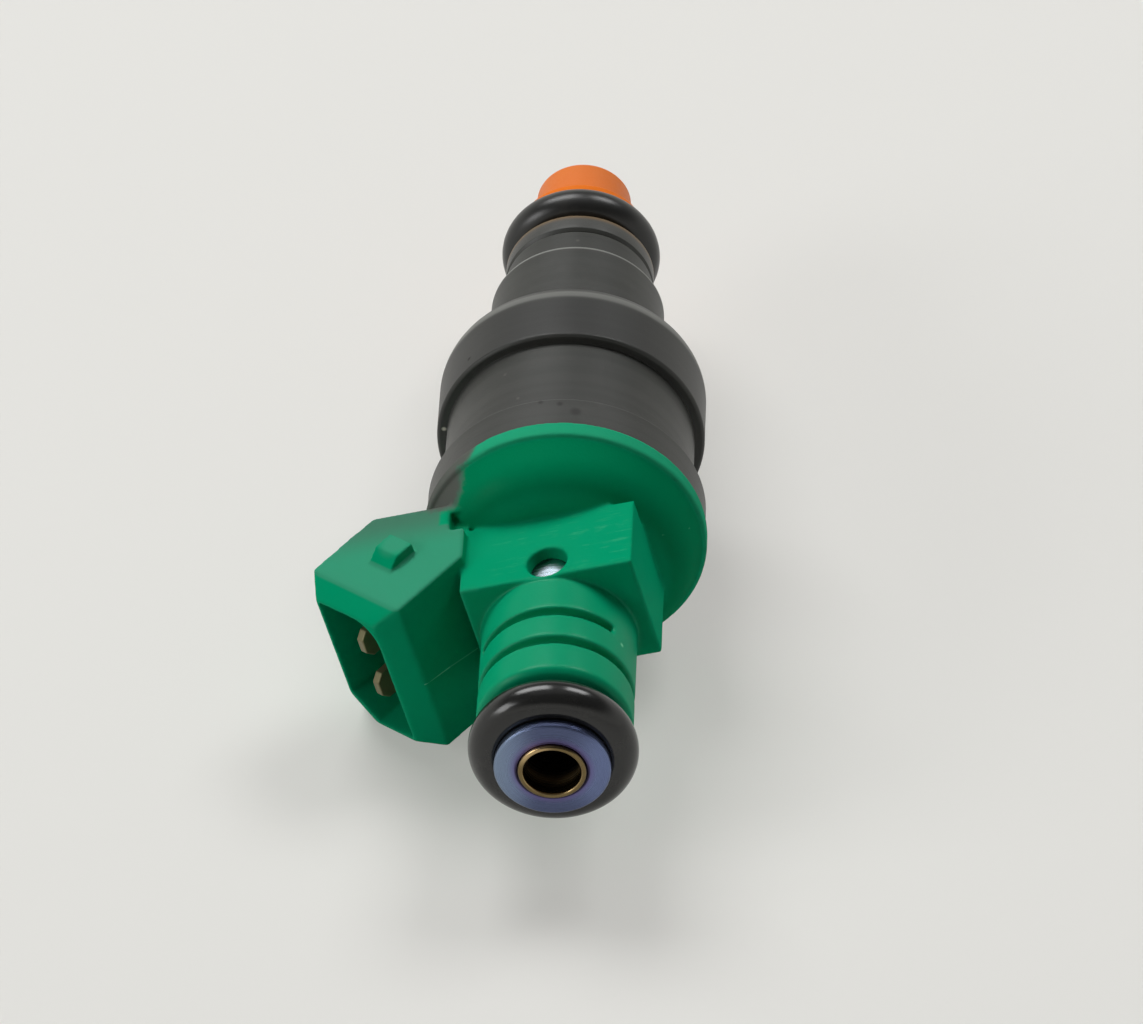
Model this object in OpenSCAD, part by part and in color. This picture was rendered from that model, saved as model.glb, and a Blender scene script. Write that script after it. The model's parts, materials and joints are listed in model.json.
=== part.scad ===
// Fuel injector: a solenoid valve with a slanted plug socket, lying on its side.
// Every piece is drawn upright along the valve's axis: x points to the plug socket, y out of the
// block's face, and z is the station, counted from the inlet's front face towards the nozzle.
// lay_down() then turns the valve so that the inlet points along -Y and the socket along -X.

/* [Pose] */
// Angle by which the plug socket dips below the level
socket_dip = 15; // [0:0.5:30]

/* [Fits] */
// Radial clearance between pieces that stay together
fit_gap = 0.02; // [0.01:0.005:0.04]
// Radial clearance of the pieces that slide
run_gap = 0.05; // [0.02:0.01:0.08]
// Radial clearance of pieces that only pass each other
loose_gap = 0.25; // [0.15:0.05:0.4]

/* [Outer seals] */
// Inside diameter of the two outer O-rings
seal_bore_d = 7.52; // [7.2:0.02:8]
// Section diameter of the two outer O-rings
seal_section_d = 3.53; // [3:0.01:4]
// Free length beside each outer O-ring
seal_room = 0.72; // [0.4:0.02:1.4]

/* [Inlet] */
// Diameter of the inlet flange
flange_d = 10; // [9.4:0.1:12]
// Thickness of the inlet flange
flange_t = 0.95; // [0.8:0.05:1.6]
// Bevel on the front edge of the inlet flange
flange_bevel = 0.2; // [0.1:0.05:0.6]
// Bore of the filter collar
collar_bore_d = 4.9; // [4.4:0.1:5]
// Wall of the filter collar
collar_wall = 0.5; // [0.3:0.05:0.6]
// How far the filter collar's lip stands out of the inlet
collar_proud = 0.35; // [0.2:0.05:0.6]
// Length of the filter collar inside the inlet
collar_len = 6; // [4:0.5:8]
// Length of the filter basket behind the collar
basket_len = 9; // [6:0.5:12]
// Thickness of the basket's rim, ribs and end
basket_t = 0.8; // [0.5:0.1:0.9]
// Height of the basket's ribs
rib_h = 0.55; // [0.3:0.05:0.8]
// Ribs of the filter basket
basket_ribs = 4; // [3:1:6]
// Thickness of the filter screen
screen_t = 0.2; // [0.1:0.05:0.3]
// Bore of the magnet core
core_bore_d = 4.04; // [3.8:0.02:4.4]
// Diameter of the tube's thick stretch under the window
thick_d = 11; // [9:0.1:11.4]
// Length of the tube's thick stretch
thick_len = 7; // [5:0.1:7.5]

/* [Moulding] */
// Diameter of the neck
neck_d = 13.5; // [12.4:0.1:14]
// Length of the neck
neck_len = 12.1; // [11:0.1:14]
// Bevel on the front edge of the neck
neck_bevel = 0.5; // [0.2:0.1:0.8]
// Width of the two clip grooves
groove_w = 0.88; // [0.5:0.02:1.2]
// Depth of the two clip grooves
groove_depth = 0.8; // [0.4:0.05:1.2]
// From the front of the neck to the middle of the full groove
groove_from_front = 4.1; // [3:0.1:5]
// From the full groove to the part groove
groove_pitch = 3.7; // [2.5:0.1:4.5]
// Angle that each stretch of the part groove covers
groove_sweep = 122; // [90:1:150]
// Length of the block
block_len = 8; // [7:0.1:10]
// How far the block's rear end sinks in the disc
block_sink = 0.2; // [0.1:0.05:0.6]
// From the axis to the block's face with the window
block_face = 6.9; // [6.4:0.05:7.4]
// From the axis to the block's under face
block_base = 3.8; // [3:0.1:6]
// From the axis to the block's free side
block_side = 8.2; // [7:0.1:9]
// Diameter of the round window in the block
window_d = 3.6; // [2.5:0.1:4]
// From the front of the block to the middle of the window
window_from_front = 2.05; // [2:0.05:4]
// From the axis to the middle of the window, towards the block's free side
window_aside = 0.6; // [0:0.1:1]
// Length of the disc that closes the shell
disc_len = 6.2; // [5.5:0.1:8]
// Diameter of the disc's front face, where its cone would meet it
disc_front_d = 20.2; // [19:0.1:21.5]
// Diameter of the disc's cone beside its rim
disc_d = 24.3; // [23:0.1:24.6]
// Rounding of the disc's front edge
disc_round = 4.6; // [1:0.1:5]
// How far the disc's rim stands out round the shell's crimped collar
rim_out = 0.2; // [0.1:0.05:0.6]
// Length of the disc's rim
rim_len = 1.7; // [1:0.1:2.5]

/* [Plug socket] */
// Angle between the plug's way in and the inlet's axis
socket_angle = 43; // [38:1:48]
// Width of the socket, along its row of blades
socket_w = 16.2; // [15:0.1:17]
// Thickness of the socket
socket_t = 11.2; // [10.4:0.1:12]
// From the axis to the middle of the socket's shoulder
socket_out = 16.2; // [15.4:0.1:17.4]
// From the middle of the socket's shoulder to the front of the disc
socket_up = 6.5; // [5.8:0.1:7]
// Height of the bevelled rim in front of the shoulder
rim_h = 2; // [1.4:0.1:2.6]
// Width of the mouth, along the row of blades
mouth_w = 13; // [12:0.1:13.4]
// Thickness of the mouth
mouth_t = 7; // [6.4:0.1:7.4]
// Depth of the mouth
mouth_depth = 8.5; // [7.5:0.1:9]
// Flat edge round the mouth
mouth_land = 0.25; // [0.15:0.05:0.4]
// Rounded keying corner of the mouth
mouth_round = 2.4; // [1:0.1:3]
// Cut-off keying corner of the mouth
mouth_cut = 2.6; // [1:0.1:3]
// From the axis to the socket's root
root_out = 6.7; // [6.4:0.1:7]
// From the front of the disc to the socket's back
root_back = 2.8; // [2:0.1:3.6]
// Width of the small notch at the socket's root
notch_w = 1.4; // [0.8:0.1:2]
// Length of the small notch at the socket's root
notch_len = 2.3; // [1.5:0.1:2.6]
// How far the notch starts in front of the disc
notch_front = 0.6; // [0.2:0.1:1]
// Width of the plug's catch
catch_w = 2.8; // [2:0.1:4]
// Length of the plug's catch
catch_len = 3.2; // [2.4:0.1:4]
// Height of the plug's catch
catch_h = 1.05; // [0.5:0.05:1.3]
// Length of the ramp in front of the catch
catch_ramp = 1.35; // [0.8:0.05:2]
// From the socket's shoulder to the middle of the catch
catch_back = 4.5; // [3.5:0.1:5.5]
// Width of a blade terminal
blade_w = 2.8; // [2.4:0.1:3]
// Thickness of a blade terminal
blade_t = 0.8; // [0.6:0.05:1]
// Distance between the two blades
blade_pitch = 5; // [4.6:0.1:5.6]
// From the mouth's edge to the tips of the blades
blade_set_back = 0.6; // [0.4:0.1:2]
// Cut-off corners at the tip of a blade
blade_tip = 0.7; // [0.3:0.05:0.9]
// From the axis to the blades' straight tails
tail_out = 8.4; // [8:0.1:8.8]

/* [Shell] */
// Diameter of the crimped collar
crimp_d = 24.6; // [24.3:0.1:25.2]
// Length of the crimped collar
crimp_len = 3.5; // [3:0.1:5]
// Diameter of the waist
waist_d = 22.2; // [21.8:0.1:23]
// Length of the waist
waist_len = 9.3; // [9:0.1:11]
// Wall of the waist
waist_wall = 1.1; // [0.8:0.05:1.4]
// Diameter of the wide ring
ring_d = 24; // [23.6:0.1:25]
// Length of the wide ring
ring_len = 5.5; // [4.8:0.1:7]
// Rounding of the wide ring's front edge
ring_round = 0.35; // [0.1:0.05:0.6]
// Rounding of the shoulder behind the wide ring
shoulder_round = 3; // [2:0.1:3.4]
// Diameter of the shell's neck
shell_neck_d = 15.8; // [15.6:0.1:17]
// Length of the shell's neck
shell_neck_len = 9.9; // [9.4:0.1:12]
// Bevel on the end of the shell's neck
shell_bevel = 0.4; // [0.1:0.05:0.5]
// Thickness of the crimped lip that holds the nozzle
lip_t = 1.2; // [0.8:0.1:1.6]

/* [Magnet] */
// Thickness of the pole plate
plate_t = 2; // [1.5:0.1:2.2]
// Ledge in the shell that carries the pole plate
plate_ledge = 1.1; // [0.6:0.05:1.1]
// Length of the bobbin
bobbin_len = 10.5; // [9.5:0.1:11]
// Thickness of the bobbin's end plates
bobbin_end_t = 1; // [0.8:0.1:1.4]
// Wall of the bobbin's drum
drum_wall = 2.4; // [2:0.1:3]
// Depth of the winding below the bobbin's edge
winding_inset = 0.5; // [0.2:0.1:0.7]
// Diameter of the winding's two ends
lead_d = 0.5; // [0.3:0.05:0.6]
// Section diameter of the two coil seals
coil_seal_d = 1.5; // [1.2:0.05:1.6]
// How far the core reaches past the bobbin
core_reach = 1; // [0.8:0.1:1.5]

/* [Valve] */
// Lift of the needle
lift = 0.12; // [0.08:0.01:0.2]
// Gap left between armature and core when the valve is open
air_gap = 0.05; // [0.03:0.01:0.1]
// How much wider the armature is than the core
armature_step = 0.5; // [0.3:0.05:0.8]
// Depth of the spring's pocket in the armature
pocket_depth = 1.8; // [1.2:0.1:2.5]
// Free length between the armature and the stop plate
armature_room = 3.3; // [2.5:0.1:4]
// Diameter of the armature's fuel holes
fuel_hole_d = 0.9; // [0.6:0.1:1]
// Wire of the return spring
spring_wire = 0.6; // [0.5:0.05:0.7]
// Turns of the return spring
spring_turns = 8; // [6:1:9]
// Length of the return spring
spring_len = 10.9; // [10:0.1:12]
// Length of the adjusting tube
adjust_len = 14; // [10:0.5:16]
// Wall of the adjusting tube
adjust_wall = 0.7; // [0.5:0.05:0.9]
// Width of the slit along the adjusting tube
adjust_slit = 0.6; // [0.4:0.1:1]
// Diameter of the needle's stem
stem_d = 2.6; // [2.2:0.1:2.8]
// Diameter of the needle's guide lands
guide_d = 3.9; // [3.6:0.05:4]
// Length of each guide land
guide_len = 2.5; // [1.5:0.1:3]
// Width across the flats of the guide lands
guide_flats = 3.4; // [3:0.1:3.5]
// Diameter of the needle's stop shoulder
stop_d = 5.2; // [4.8:0.1:5.6]
// Thickness of the needle's stop shoulder
stop_t = 1.2; // [0.8:0.1:1.5]
// Free length behind the needle's stop shoulder
stop_room = 0.8; // [0.4:0.1:1.2]
// Diameter of the pintle at the tip of the needle
pintle_d = 1; // [0.8:0.05:1.2]
// How far the pintle reaches out of the nozzle
pintle_out = 0.8; // [0.4:0.1:1.5]
// Axial gap at the valve's seat, for the film of fuel
seat_gap = 0.03; // [0.02:0.005:0.04]

/* [Nozzle] */
// Diameter of the nozzle body
nozzle_d = 13.6; // [13.2:0.1:14]
// Length of the nozzle body that shows below the shell
nozzle_show = 3.35; // [2.5:0.05:5]
// Step by which the lip grips the nozzle's head
lip_grip = 0.4; // [0.3:0.05:0.5]
// Length of the nozzle's head inside the shell
head_len = 5; // [4.5:0.1:5.4]
// Section diameter of the seal round the nozzle's head
nozzle_seal_d = 1.2; // [1:0.05:1.4]
// Thickness of the stop plate
stop_plate_t = 1; // [0.8:0.1:1.4]
// Thickness of the lift shim
shim_t = 0.4; // [0.2:0.05:0.6]
// Diameter of the spray orifice
orifice_d = 1.24; // [1.22:0.02:1.5]
// Diameter of the nozzle's tip inside the cap
tip_d = 5.8; // [5.2:0.1:6.2]
// Length of the nozzle's tip inside the cap
tip_len = 3; // [2.6:0.1:3.4]

/* [Support ring] */
// Diameter of the support ring
support_d = 13.6; // [13:0.1:14]
// Length of the support ring
support_len = 2.3; // [1.6:0.1:3]
// Diameter of the support ring's spigot
spigot_d = 11.6; // [10:0.1:12.4]
// Length of the support ring's spigot
spigot_len = 0.35; // [0.2:0.05:0.8]
// Bevel on the support ring's edges
support_bevel = 0.3; // [0.1:0.05:0.5]

/* [Pintle cap] */
// Diameter of the cap's flange
cap_flange_d = 12; // [11.6:0.1:13.4]
// Thickness of the cap's flange
cap_flange_t = 1.3; // [1:0.1:2]
// Diameter of the cap
cap_d = 8.76; // [8.4:0.02:9.4]
// Length of the cap
cap_len = 6.8; // [6:0.1:8]
// Rounding of the cap's end
cap_round = 0.6; // [0.3:0.05:0.9]
// Width of the groove behind the cap's flange
cap_groove_w = 0.5; // [0.3:0.05:0.8]
// Depth of the groove behind the cap's flange
cap_groove_depth = 0.3; // [0.1:0.05:0.5]
// Diameter of the cap's spray hole
spray_d = 3.4; // [2.6:0.1:4]
// Depth of the snap bead that holds the cap
snap_depth = 0.25; // [0.15:0.05:0.35]

/* [Hidden] */
$fn = 96;

// Length by which a cut runs past the face that it opens
over = 0.5;

// Radii of what is nested round the axis
tube_r = seal_bore_d / 2 - fit_gap;
collar_r = collar_bore_d / 2 + collar_wall;
core_bore_r = core_bore_d / 2;
on_tube_r = tube_r + fit_gap;
armature_r = tube_r + armature_step / 2;
chamber_r = waist_d / 2 - waist_wall;
plate_r = chamber_r + plate_ledge;
bobbin_r = chamber_r - fit_gap;
drum_r = on_tube_r + drum_wall;
winding_r = bobbin_r - winding_inset;
rim_r = crimp_d / 2 + rim_out;
nozzle_r = nozzle_d / 2;
head_r = nozzle_r + lip_grip;
guide_r = guide_d / 2;
guide_bore_r = guide_r + run_gap;
stem_r = stem_d / 2;
seal_mid_r = seal_bore_d / 2 + seal_section_d / 2;

// Stations of the inlet and the moulding
rail_seal_z = flange_t + seal_section_d / 2;
neck_z = flange_t + seal_section_d + seal_room;
block_z = neck_z + neck_len;
disc_z = block_z + block_len;
shell_z = disc_z + disc_len;
full_groove_z = neck_z + groove_from_front;
part_groove_z = full_groove_z + groove_pitch;
window_z = block_z + window_from_front;

// Stations of the magnet and the shell
bobbin_z = shell_z + plate_t;
floor_z = bobbin_z + bobbin_len;
pole_z = floor_z + core_reach;
waist_z = shell_z + crimp_len;
ring_z = waist_z + waist_len;
shoulder_z = ring_z + ring_len;
shell_neck_z = shoulder_z + shoulder_round;
shell_end_z = shell_neck_z + shell_neck_len;

// Stations of the nozzle, its seal and its cap
head_end_z = shell_end_z - lip_t;
head_z = head_end_z - head_len;
stop_plate_z = head_z - stop_plate_t;
shim_z = stop_plate_z - shim_t;
nozzle_end_z = shell_end_z + nozzle_show;
support_z = nozzle_end_z + spigot_len;
support_end_z = support_z + support_len;
nozzle_seal_z = support_end_z + seal_room + seal_section_d / 2;
cap_z = nozzle_seal_z + seal_section_d / 2 + fit_gap;
tip_z = cap_z + tip_len;
cap_end_z = cap_z + cap_len;
head_seal_z = (head_z + head_end_z) / 2;

// Stations of the valve: the seat is a cone of 45 degrees
orifice_r = orifice_d / 2;
seat_end_z = tip_z - tip_len / 2;
seat_z = seat_end_z - (guide_bore_r - orifice_r);
armature_z = pole_z + lift + air_gap;
armature_end_z = shim_z - armature_room;
pocket_z = armature_z + pocket_depth;
adjust_end_z = pocket_z - spring_len;
stop_z = head_z + lift + air_gap / 2;
stop_pocket_len = lift + stop_t + stop_room;
pintle_end_z = tip_z + pintle_out;

// The socket's profile, in station z over the distance x from the axis
socket_dir = [sin(socket_angle), -cos(socket_angle)];
socket_side = [cos(socket_angle), sin(socket_angle)];
shoulder_mid = [socket_out, disc_z - socket_up];
shoulder_near = shoulder_mid - socket_side * socket_t / 2;
shoulder_far = shoulder_mid + socket_side * socket_t / 2;
back_z = disc_z + root_back;
near_run = (shoulder_near.x - root_out) / socket_dir.x;
far_run = (back_z - shoulder_far.y) / -socket_dir.y;
root_near = shoulder_near - socket_dir * near_run;
root_far = shoulder_far - socket_dir * far_run;
blade_run = (shoulder_mid.x - tail_out) / socket_dir.x;
blade_bend = shoulder_mid - socket_dir * blade_run;
blade_end = rim_h - blade_set_back;
socket_straight = mouth_depth - rim_h;

// Colours
green = [0, 0.55, 0.38];
dark_steel = [0.3, 0.3, 0.29];
steel = [0.62, 0.62, 0.64];
plated = [0.45, 0.5, 0.66];
brass = [0.62, 0.48, 0.22];
bronze = [0.6, 0.5, 0.38];
rubber = [0.16, 0.16, 0.15];
orange = [0.9, 0.45, 0.15];
copper = [0.72, 0.38, 0.2];
nylon = [0.85, 0.83, 0.76];
dark_nylon = [0.2, 0.19, 0.17];

// Turns the upright valve to the way that it lies
module lay_down() {
    rotate([0, -socket_dip, 0]) rotate([90, 0, 180]) children();
}

// A frame at the socket's shoulder: z points out of the mouth, y along the row of blades
module at_socket() {
    translate([shoulder_mid.x, 0, shoulder_mid.y]) rotate([0, 180 - socket_angle, 0]) children();
}

// A prism whose outline is drawn in x and z
module across(width) {
    rotate([90, 0, 0]) linear_extrude(width, center = true) children();
}

// A prism whose outline is drawn in y and z
module along_x(width) {
    rotate([90, 0, 90]) linear_extrude(width, center = true) children();
}

// Half section of a plain band: from the axis out to r, between two stations
module band(r, z0, z1) {
    translate([0, z0]) square([r, z1 - z0]);
}

// Half section of a band with a bevel on its edge at the first or the second station
module bevelled_band(r, z0, z1, first = 0, second = 0) {
    polygon([[0, z0], [r - first, z0], [r, z0 + first], [r, z1 - second], [r - second, z1], [0, z1]]);
}

// Half section of a band whose edge at the first station is rounded
module rounded_band(r, z0, z1, edge) {
    band(r - edge, z0, z1);
    band(r, z0 + edge, z1);
    translate([r - edge, z0 + edge]) circle(edge);
}

// Round wire or cord section swept round the axis
module o_ring(mid_r, section_d, z) {
    translate([0, 0, z]) rotate_extrude() translate([mid_r, 0]) circle(d = section_d);
}

module inlet_tube() {
    color(plated) lay_down() rotate_extrude() difference() {
        union() {
            bevelled_band(flange_d / 2, 0, flange_t, first = flange_bevel);
            band(thick_d / 2, window_z - thick_len / 2, window_z + thick_len / 2);
            band(tube_r, 0, pole_z);
        }
        translate([0, -over]) square([collar_r + fit_gap, collar_len + basket_len + over + fit_gap]);
        band(core_bore_r, 0, pole_z + over);
    }
}

module filter_collar() {
    lip_r = collar_wall / 2;
    color(brass) lay_down() rotate_extrude() {
        translate([collar_bore_d / 2, lip_r - collar_proud])
            square([collar_wall, collar_len + collar_proud - lip_r]);
        translate([collar_r - lip_r, lip_r - collar_proud]) circle(lip_r);
    }
}

module filter_basket() {
    cage_r = core_bore_r + rib_h;
    base_z = collar_len + basket_len - basket_t;
    color(dark_nylon) lay_down() {
        rotate_extrude() translate([core_bore_r, collar_len]) square([collar_r - core_bore_r, basket_t]);
        translate([0, 0, base_z]) cylinder(r = cage_r, h = basket_t);
        for (i = [0 : basket_ribs - 1]) {
            rotate(i * 360 / basket_ribs) translate([core_bore_r, -basket_t / 2, collar_len])
                cube([rib_h, basket_t, basket_len]);
        }
    }
}

module filter_screen() {
    color(dark_nylon) lay_down() rotate_extrude()
        translate([core_bore_r - screen_t - fit_gap, collar_len])
        square([screen_t, basket_len - basket_t]);
}

module rail_o_ring() {
    color(rubber) lay_down() o_ring(seal_mid_r, seal_section_d, rail_seal_z);
}

// Half section of the disc in front of its rim: a cone with a rounded front edge
module disc_cone() {
    rim_z = shell_z - rim_len;
    lean = atan((disc_d - disc_front_d) / 2 / (rim_z - disc_z));
    round_r = disc_front_d / 2 - disc_round * (1 - sin(lean)) / cos(lean);
    polygon([[0, disc_z], [round_r, disc_z],
        [round_r + disc_round * cos(lean), disc_z + disc_round * (1 - sin(lean))],
        [disc_d / 2, rim_z], [disc_d / 2, shell_z], [0, shell_z]]);
    intersection() {
        translate([round_r, disc_z + disc_round]) circle(disc_round);
        band(disc_d / 2, disc_z, shell_z);
    }
}

// The moulding's round body: neck and disc
module moulding_round() {
    rotate_extrude() {
        bevelled_band(neck_d / 2, neck_z, disc_z + disc_round, first = neck_bevel);
        disc_cone();
        band(rim_r, shell_z - rim_len, shell_z);
    }
}

module moulding_block() {
    difference() {
        translate([-block_side, -block_base, block_z])
            cube([block_side + root_out + over, block_base + block_face, block_len + block_sink]);
        at_socket() socket_prism();
    }
}

// The grooves for the rail's clip: one goes all round, one is left out at the two sides
module clip_grooves() {
    floor_r = neck_d / 2 - groove_depth;
    rotate_extrude() translate([floor_r, full_groove_z - groove_w / 2])
        square([groove_depth + over, groove_w]);
    for (side = [90, 270]) {
        rotate(side - groove_sweep / 2) rotate_extrude(angle = groove_sweep)
            translate([floor_r, part_groove_z - groove_w / 2]) square([groove_depth + over, groove_w]);
    }
}

// The straight walls' outside, from the mouth's floor up to the shoulder
module socket_prism() {
    translate([-socket_t / 2, -socket_w / 2, -socket_straight])
        cube([socket_t, socket_w, socket_straight]);
}

// One wedge on each narrow side of the socket, which the plug's clip snaps over
module plug_catches() {
    top = socket_w / 2 + catch_h;
    z0 = max(-catch_back - catch_len / 2, -socket_straight);
    z1 = -catch_back + catch_len / 2;
    for (side = [0, 1]) {
        mirror([0, side, 0]) along_x(catch_w)
            polygon([[0, z0], [top, z0], [top, z1 - catch_ramp], [top - catch_h, z1], [0, z1]]);
    }
}

// The bevelled rim in front of the socket's shoulder
module socket_rim() {
    half_t = mouth_t / 2 + mouth_land;
    half_w = mouth_w / 2 + mouth_land;
    cut_corner = (mouth_t / 2 + mouth_w / 2 - mouth_cut) * sqrt(0.5) + mouth_land;
    full_corner = (socket_t / 2 + socket_w / 2) * sqrt(0.5);
    intersection() {
        rotate(45) across(2 * full_corner) polygon([[full_corner, -over],
            [full_corner, rim_h], [-cut_corner, rim_h], [-full_corner, 0], [-full_corner, -over]]);
        across(socket_w) polygon([[-socket_t / 2, -over], [socket_t / 2, -over], [socket_t / 2, 0],
            [half_t, rim_h], [-half_t, rim_h], [-socket_t / 2, 0]]);
        along_x(socket_t) polygon([[-socket_w / 2, -over], [socket_w / 2, -over], [socket_w / 2, 0],
            [half_w, rim_h], [-half_w, rim_h], [-socket_w / 2, 0]]);
    }
}

// The socket's root, behind the floor of the mouth
module socket_root() {
    difference() {
        across(socket_w) polygon([shoulder_near, shoulder_far, root_far, [root_out, back_z], root_near]);
        translate([root_out - over, block_face, disc_z - notch_front])
            cube([notch_w + over, socket_w, notch_len]);
        at_socket() translate([-socket_t, -socket_w, -socket_straight])
            cube([2 * socket_t, 2 * socket_w, socket_straight + over]);
    }
}

// Outline of the socket's mouth: two of its corners are keyed
module mouth_outline() {
    difference() {
        square([mouth_t, mouth_w], center = true);
        translate([mouth_t / 2 - mouth_round, mouth_w / 2 - mouth_round]) difference() {
            square(mouth_round + over);
            circle(mouth_round);
        }
        translate([-mouth_t / 2, -mouth_w / 2]) rotate(45) square(mouth_cut * sqrt(2), center = true);
    }
}

// The walls round the mouth, with the rim and the catches
module plug_socket() {
    color(green) lay_down() at_socket() difference() {
        union() {
            socket_prism();
            socket_rim();
            plug_catches();
        }
        translate([0, 0, -socket_straight - over]) linear_extrude(mouth_depth + 2 * over) mouth_outline();
    }
}

// A blade, its bend and its straight tail, grown by a clearance
module terminal(side, grow = 0) {
    half_w = blade_w / 2 + grow;
    thick = blade_t + 2 * grow;
    translate([0, side * blade_pitch / 2, 0]) {
        at_socket() along_x(thick) polygon([[-half_w, -blade_run], [half_w, -blade_run],
            [half_w, blade_end - blade_tip], [half_w - blade_tip, blade_end],
            [blade_tip - half_w, blade_end], [-half_w, blade_end - blade_tip]]);
        translate([blade_bend.x, 0, blade_bend.y]) rotate([90, 0, 0])
            cylinder(d = thick, h = 2 * half_w, center = true);
        translate([blade_bend.x - thick / 2, -half_w, blade_bend.y])
            cube([thick, 2 * half_w, bobbin_z - blade_bend.y]);
    }
}

module connector_moulding() {
    color(green) lay_down() difference() {
        union() {
            moulding_round();
            moulding_block();
            socket_root();
        }
        translate([0, 0, neck_z - over]) cylinder(r = on_tube_r, h = shell_z - neck_z + 2 * over);
        translate([0, 0, window_z - thick_len / 2 - fit_gap])
            cylinder(r = thick_d / 2 + fit_gap, h = thick_len + 2 * fit_gap);
        translate([-window_aside, 0, window_z]) rotate([-90, 0, 0])
            cylinder(d = window_d, h = block_face + over);
        clip_grooves();
        terminal(1, fit_gap);
        terminal(-1, fit_gap);
    }
}

module terminal_upper() {
    color(bronze) lay_down() terminal(1);
}

module terminal_lower() {
    color(bronze) lay_down() terminal(-1);
}

module pole_plate() {
    color(steel) lay_down() difference() {
        translate([0, 0, shell_z]) cylinder(r = plate_r, h = plate_t);
        translate([0, 0, shell_z - over]) cylinder(r = on_tube_r, h = plate_t + 2 * over);
        terminal(1, 2 * fit_gap);
        terminal(-1, 2 * fit_gap);
    }
}

// The pocket for a coil seal, at one end of the bobbin
coil_seal_pocket = coil_seal_d + 2 * fit_gap;

module bobbin() {
    color(nylon) lay_down() difference() {
        rotate_extrude() difference() {
            union() {
                band(drum_r, bobbin_z, floor_z);
                band(bobbin_r, bobbin_z, bobbin_z + bobbin_end_t);
                band(bobbin_r, floor_z - bobbin_end_t, floor_z);
            }
            band(on_tube_r, bobbin_z - over, floor_z + over);
            band(on_tube_r + coil_seal_pocket, bobbin_z - over, bobbin_z + coil_seal_pocket);
            band(on_tube_r + coil_seal_pocket, floor_z - coil_seal_pocket, floor_z + over);
        }
        for (side = [-1, 1]) {
            translate([tail_out, side * blade_pitch / 2, bobbin_z - over])
                cylinder(d = lead_d + 2 * fit_gap, h = bobbin_end_t + over + fit_gap);
        }
    }
}

module coil_winding() {
    color(copper) lay_down() rotate_extrude()
        translate([drum_r + fit_gap, bobbin_z + bobbin_end_t])
        square([winding_r - drum_r - fit_gap, bobbin_len - 2 * bobbin_end_t]);
}

module coil_leads() {
    color(copper) lay_down() for (side = [-1, 1]) {
        translate([tail_out, side * blade_pitch / 2, bobbin_z]) cylinder(d = lead_d, h = bobbin_end_t);
    }
}

module upper_coil_seal() {
    color(rubber) lay_down()
        o_ring(on_tube_r + coil_seal_pocket / 2, coil_seal_d, bobbin_z + coil_seal_pocket / 2);
}

module lower_coil_seal() {
    color(rubber) lay_down()
        o_ring(on_tube_r + coil_seal_pocket / 2, coil_seal_d, floor_z - coil_seal_pocket / 2);
}

module adjusting_tube() {
    outer_r = core_bore_r - fit_gap;
    color(steel) lay_down() translate([0, 0, adjust_end_z - adjust_len]) difference() {
        cylinder(r = outer_r, h = adjust_len);
        translate([0, 0, -over]) cylinder(r = outer_r - adjust_wall, h = adjust_len + 2 * over);
        translate([0, -adjust_slit / 2, -over]) cube([outer_r + over, adjust_slit, adjust_len + 2 * over]);
    }
}

// The return spring: one wire wound on a helix
spring_mid_r = core_bore_r - spring_wire / 2 - 2 * run_gap;
spring_rise = spring_len - spring_wire - 2 * fit_gap;
spring_steps = 12;
spring_sides = 8;
spring_rings = spring_turns * spring_steps;
function spring_point(ring, corner) =
    let (turn = 360 * ring / spring_steps)
    let (angle = 360 * corner / spring_sides)
    let (r = spring_mid_r + spring_wire / 2 * cos(angle))
    [r * cos(turn), r * sin(turn), spring_rise * ring / spring_rings + spring_wire / 2 * sin(angle)];

module return_spring() {
    points = [for (ring = [0 : spring_rings]) for (corner = [0 : spring_sides - 1])
        spring_point(ring, corner)];
    side_faces = [for (ring = [0 : spring_rings - 1]) for (corner = [0 : spring_sides - 1])
        let (a = ring * spring_sides + corner)
        let (b = ring * spring_sides + (corner + 1) % spring_sides)
        each [[a, a + spring_sides, b], [b, a + spring_sides, b + spring_sides]]];
    first_end = [for (corner = [0 : spring_sides - 1]) corner];
    last_end = [for (corner = [spring_sides - 1 : -1 : 0]) spring_rings * spring_sides + corner];
    color(steel) lay_down() translate([0, 0, adjust_end_z + spring_wire / 2 + fit_gap])
        polyhedron(points, concat(side_faces, [first_end], [last_end]), convexity = 10);
}

module armature() {
    holes_at = (core_bore_r + armature_r) / 2;
    color(steel) lay_down() difference() {
        translate([0, 0, armature_z]) cylinder(r = armature_r, h = armature_end_z - armature_z);
        translate([0, 0, armature_z - over]) cylinder(r = core_bore_r, h = pocket_depth + over);
        translate([0, 0, armature_z]) cylinder(r = stem_r + fit_gap, h = armature_end_z);
        for (turn = [0 : 90 : 270]) {
            rotate(turn) translate([holes_at, 0, armature_z - over])
                cylinder(d = fuel_hole_d, h = armature_end_z - armature_z + 2 * over);
        }
    }
}

// A guide land with four flats, which let the fuel pass
module guide_land(z) {
    intersection() {
        translate([0, 0, z]) cylinder(r = guide_r, h = guide_len);
        translate([-guide_flats / 2, -guide_flats / 2, z]) cube([guide_flats, guide_flats, guide_len]);
    }
}

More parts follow.
